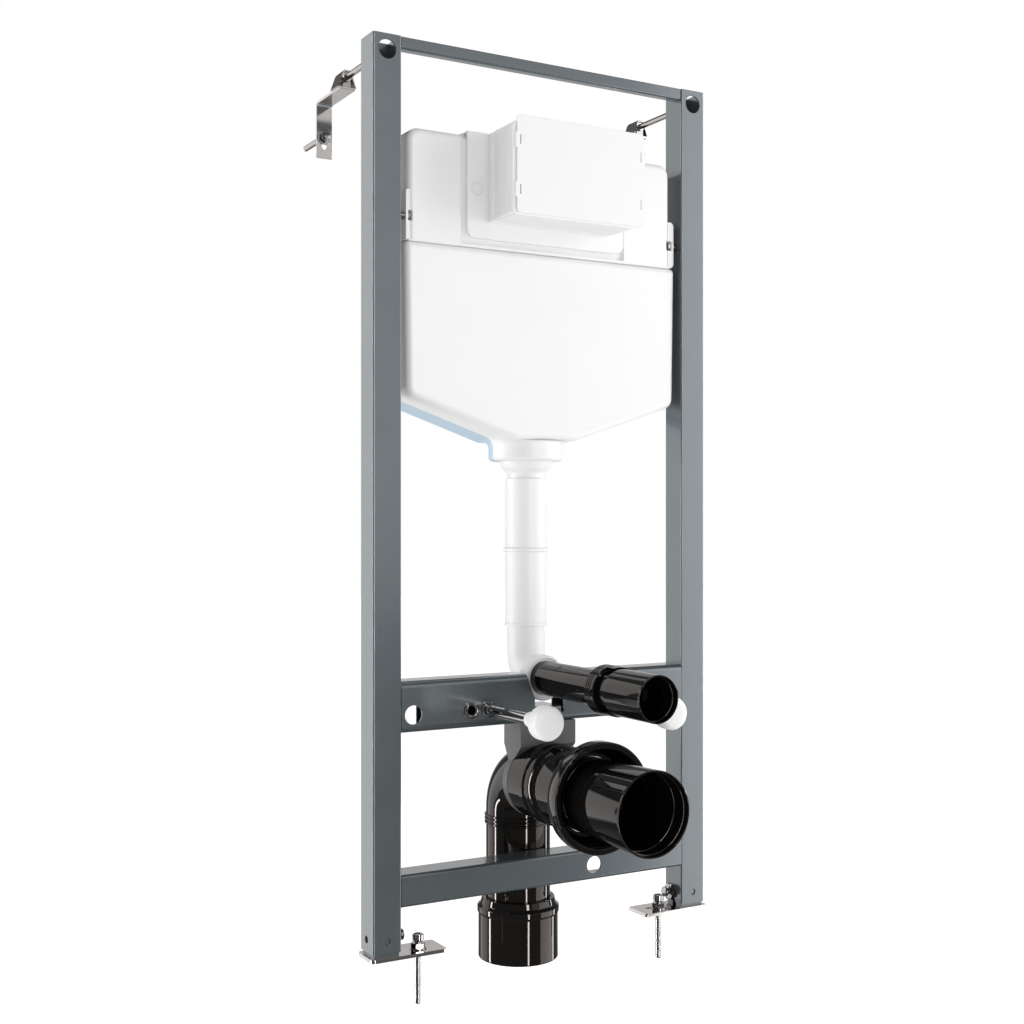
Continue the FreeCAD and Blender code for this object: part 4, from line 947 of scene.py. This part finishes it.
sheetClip = {"corners": ((104.2, 1024.6), (112.8, 1027.6), (112.8, 1019.2)), "thick": 1.2, "edge": 0.2}


def makeSheetClip(s):
    # The small steel clip between the shoulder of the cistern and the access plate.
    where = placed((0, edgesOf("access_base")[1].y, 0), toFront)
    mesh = plateFrom("accessSheetClip", [s["corners"]], s["thick"], where, s["edge"])
    keepPiece("accessSheetClip", mesh, "frame", "zinc_plate", (), 0)


for side in ("left", "right"):
    makeFootHole(footHole, side)
makeRightPlate(rightPlate)
makeTopRail(topRail)
makeCisternSeam(cisternSeam)
makeBoxRibs(ribSet)
makeBaseMark(baseMark)
makeSheetClip(sheetClip)
print("frame and access box details done")


# Floor, lights and camera

studio = {"floorDrop": 201, "wide": 24.0, "deep": 24.0, "grey": 0.4, "roughness": 0.9, "glow": 0.86}


def makeFloor(s):
    # floorDrop is in millimetres and leaves room for a lowered foot; the floor's own size is in metres.
    z = cadBox[0].z - s["floorDrop"] * mm
    x, y = s["wide"] / 2, s["deep"] / 2
    mesh = bpy.data.meshes.new("paleFloor")
    mesh.from_pydata([(-x, -y, z), (x, -y, z), (x, y, z), (-x, y, z)], [], [(0, 1, 2, 3)])
    floor = bpy.data.objects.new("paleFloor", mesh)
    bpy.context.scene.collection.objects.link(floor)
    material, tree, shader = startMaterial("Pale studio floor")
    grey = s["grey"]
    for label, value in (("Base Color", (grey, grey, grey, 1)), ("Roughness", s["roughness"]),
                         ("Specular IOR Level", 0.0), ("Emission Color", (1, 1, 1, 1)),
                         ("Emission Strength", s["glow"])):
        shader.inputs[label].default_value = value
    mesh.materials.append(material)
    floor.visible_glossy = False
    floor.visible_shadow = False


def addSoftbox(name, where, target, size, radiance, kind):
    data = bpy.data.lights.new(name, "AREA")
    data.shape = "RECTANGLE"
    data.size, data.size_y = size
    data.energy = radiance * math.pi * size[0] * size[1]
    light = bpy.data.objects.new(name, data)
    bpy.context.scene.collection.objects.link(light)
    light.location = where
    light.rotation_euler = (Vector(target) - Vector(where)).to_track_quat("-Z", "Y").to_euler()
    light.visible_camera = False
    light.visible_glossy = kind == "shine"
    light.visible_diffuse = kind == "soft"


# Each lamp, in metres: place, target, width and height, brightness, and whether it gives shine or soft light
lampSet = {
    "frontStrip": ((0.23, -3.1, 1.15), (0.23, 0, 1.15), (0.42, 2.5), 16, "shine"),
    "lowStrip": ((0.23, -3.1, -0.75), (0.23, 0, -0.75), (0.24, 1.3), 18, "shine"),
    "leftStrip": ((-2.23, 1.40, 0.5), (0.23, 0, 0.5), (0.26, 3.6), 20, "shine"),
    "rightStrip": ((3.0, 0.05, 0.5), (0.23, 0, 0.5), (0.14, 3.4), 14, "shine"),
    "rightCard": ((2.325, -1.14, 0.3), (0.04, 0.10, 0.3), (2.07, 3.6), 2.0, "shine"),
    "middleCard": ((1.47, -2.67, 1.3), (0.1, 0, 1.3), (1.14, 2.1), 0.65, "shine"),
    "backLeftCard": ((-1.2, 2.3, 0.6), (0.1, 0, 0.6), (1.9, 3.2), 1.05, "shine"),
    "backRightCard": ((1.7, 2.3, 0.6), (0.3, 0, 0.6), (2.4, 3.0), 0.5, "shine"),
    "keySoft": ((2.45, -1.30, 1.0), (0.2, 0, 0.7), (1.3, 1.9), 4.6, "soft"),
    "frontSoft": ((-0.6, -3.0, 1.2), (0.2, 0, 0.6), (1.5, 1.5), 0.5, "soft"),
    "leftSoft": ((-2.6, 0.5, 0.8), (0.1, 0, 0.7), (1.2, 1.8), 4.5, "soft"),
    "topSoft": ((0.2, -0.6, 3.0), (0.2, 0, 0.5), (2.2, 2.2), 0.6, "soft"),
}
airSet = {"seen": 1.0, "light": 0.48, "gloss": 0.14}
cameraSet = {"place": (-0.708456, -1.571632, 0.537676), "azimuth": 29.631, "lens": 49.04, "sensor": 36,
             "shiftY": 0.00775, "nearest": 0.01}


def makeAir(s):
    # White behind the object, a soft even light on it, and near darkness in its gloss.
    world = bpy.data.worlds.new("Studio air")
    bpy.context.scene.world = world
    world.use_nodes = True
    tree = world.node_tree
    tree.nodes.clear()
    path = addNode(tree, "ShaderNodeLightPath")
    airs = {}
    for name, strength in s.items():
        airs[name] = addNode(tree, "ShaderNodeBackground")
        airs[name].inputs["Color"].default_value = (1, 1, 1, 1)
        airs[name].inputs["Strength"].default_value = strength
    unseen, both = addNode(tree, "ShaderNodeMixShader"), addNode(tree, "ShaderNodeMixShader")
    result = addNode(tree, "ShaderNodeOutputWorld")
    joinAll(tree, ((path.outputs["Is Glossy Ray"], unseen.inputs[0]),
                   (airs["light"].outputs[0], unseen.inputs[1]),
                   (airs["gloss"].outputs[0], unseen.inputs[2]),
                   (path.outputs["Is Camera Ray"], both.inputs[0]),
                   (unseen.outputs[0], both.inputs[1]),
                   (airs["seen"].outputs[0], both.inputs[2]),
                   (both.outputs[0], result.inputs["Surface"])))


def makeCamera(s):
    data = bpy.data.cameras.new("photoCamera")
    camera = bpy.data.objects.new("photoCamera", data)
    bpy.context.scene.collection.objects.link(camera)
    camera.location = s["place"]
    camera.rotation_euler = (quarterTurn, 0, -math.radians(s["azimuth"]))
    data.lens = s["lens"]
    data.sensor_width = s["sensor"]
    data.shift_y = s["shiftY"]
    data.clip_start = s["nearest"]
    bpy.context.scene.camera = camera


makeFloor(studio)
for name, lamp in lampSet.items():
    addSoftbox(name, *lamp)
makeAir(airSet)
makeCamera(cameraSet)
bpy.context.scene.view_settings.view_transform = "Standard"
print("studio ready, pieces added:", len(pieceNames))
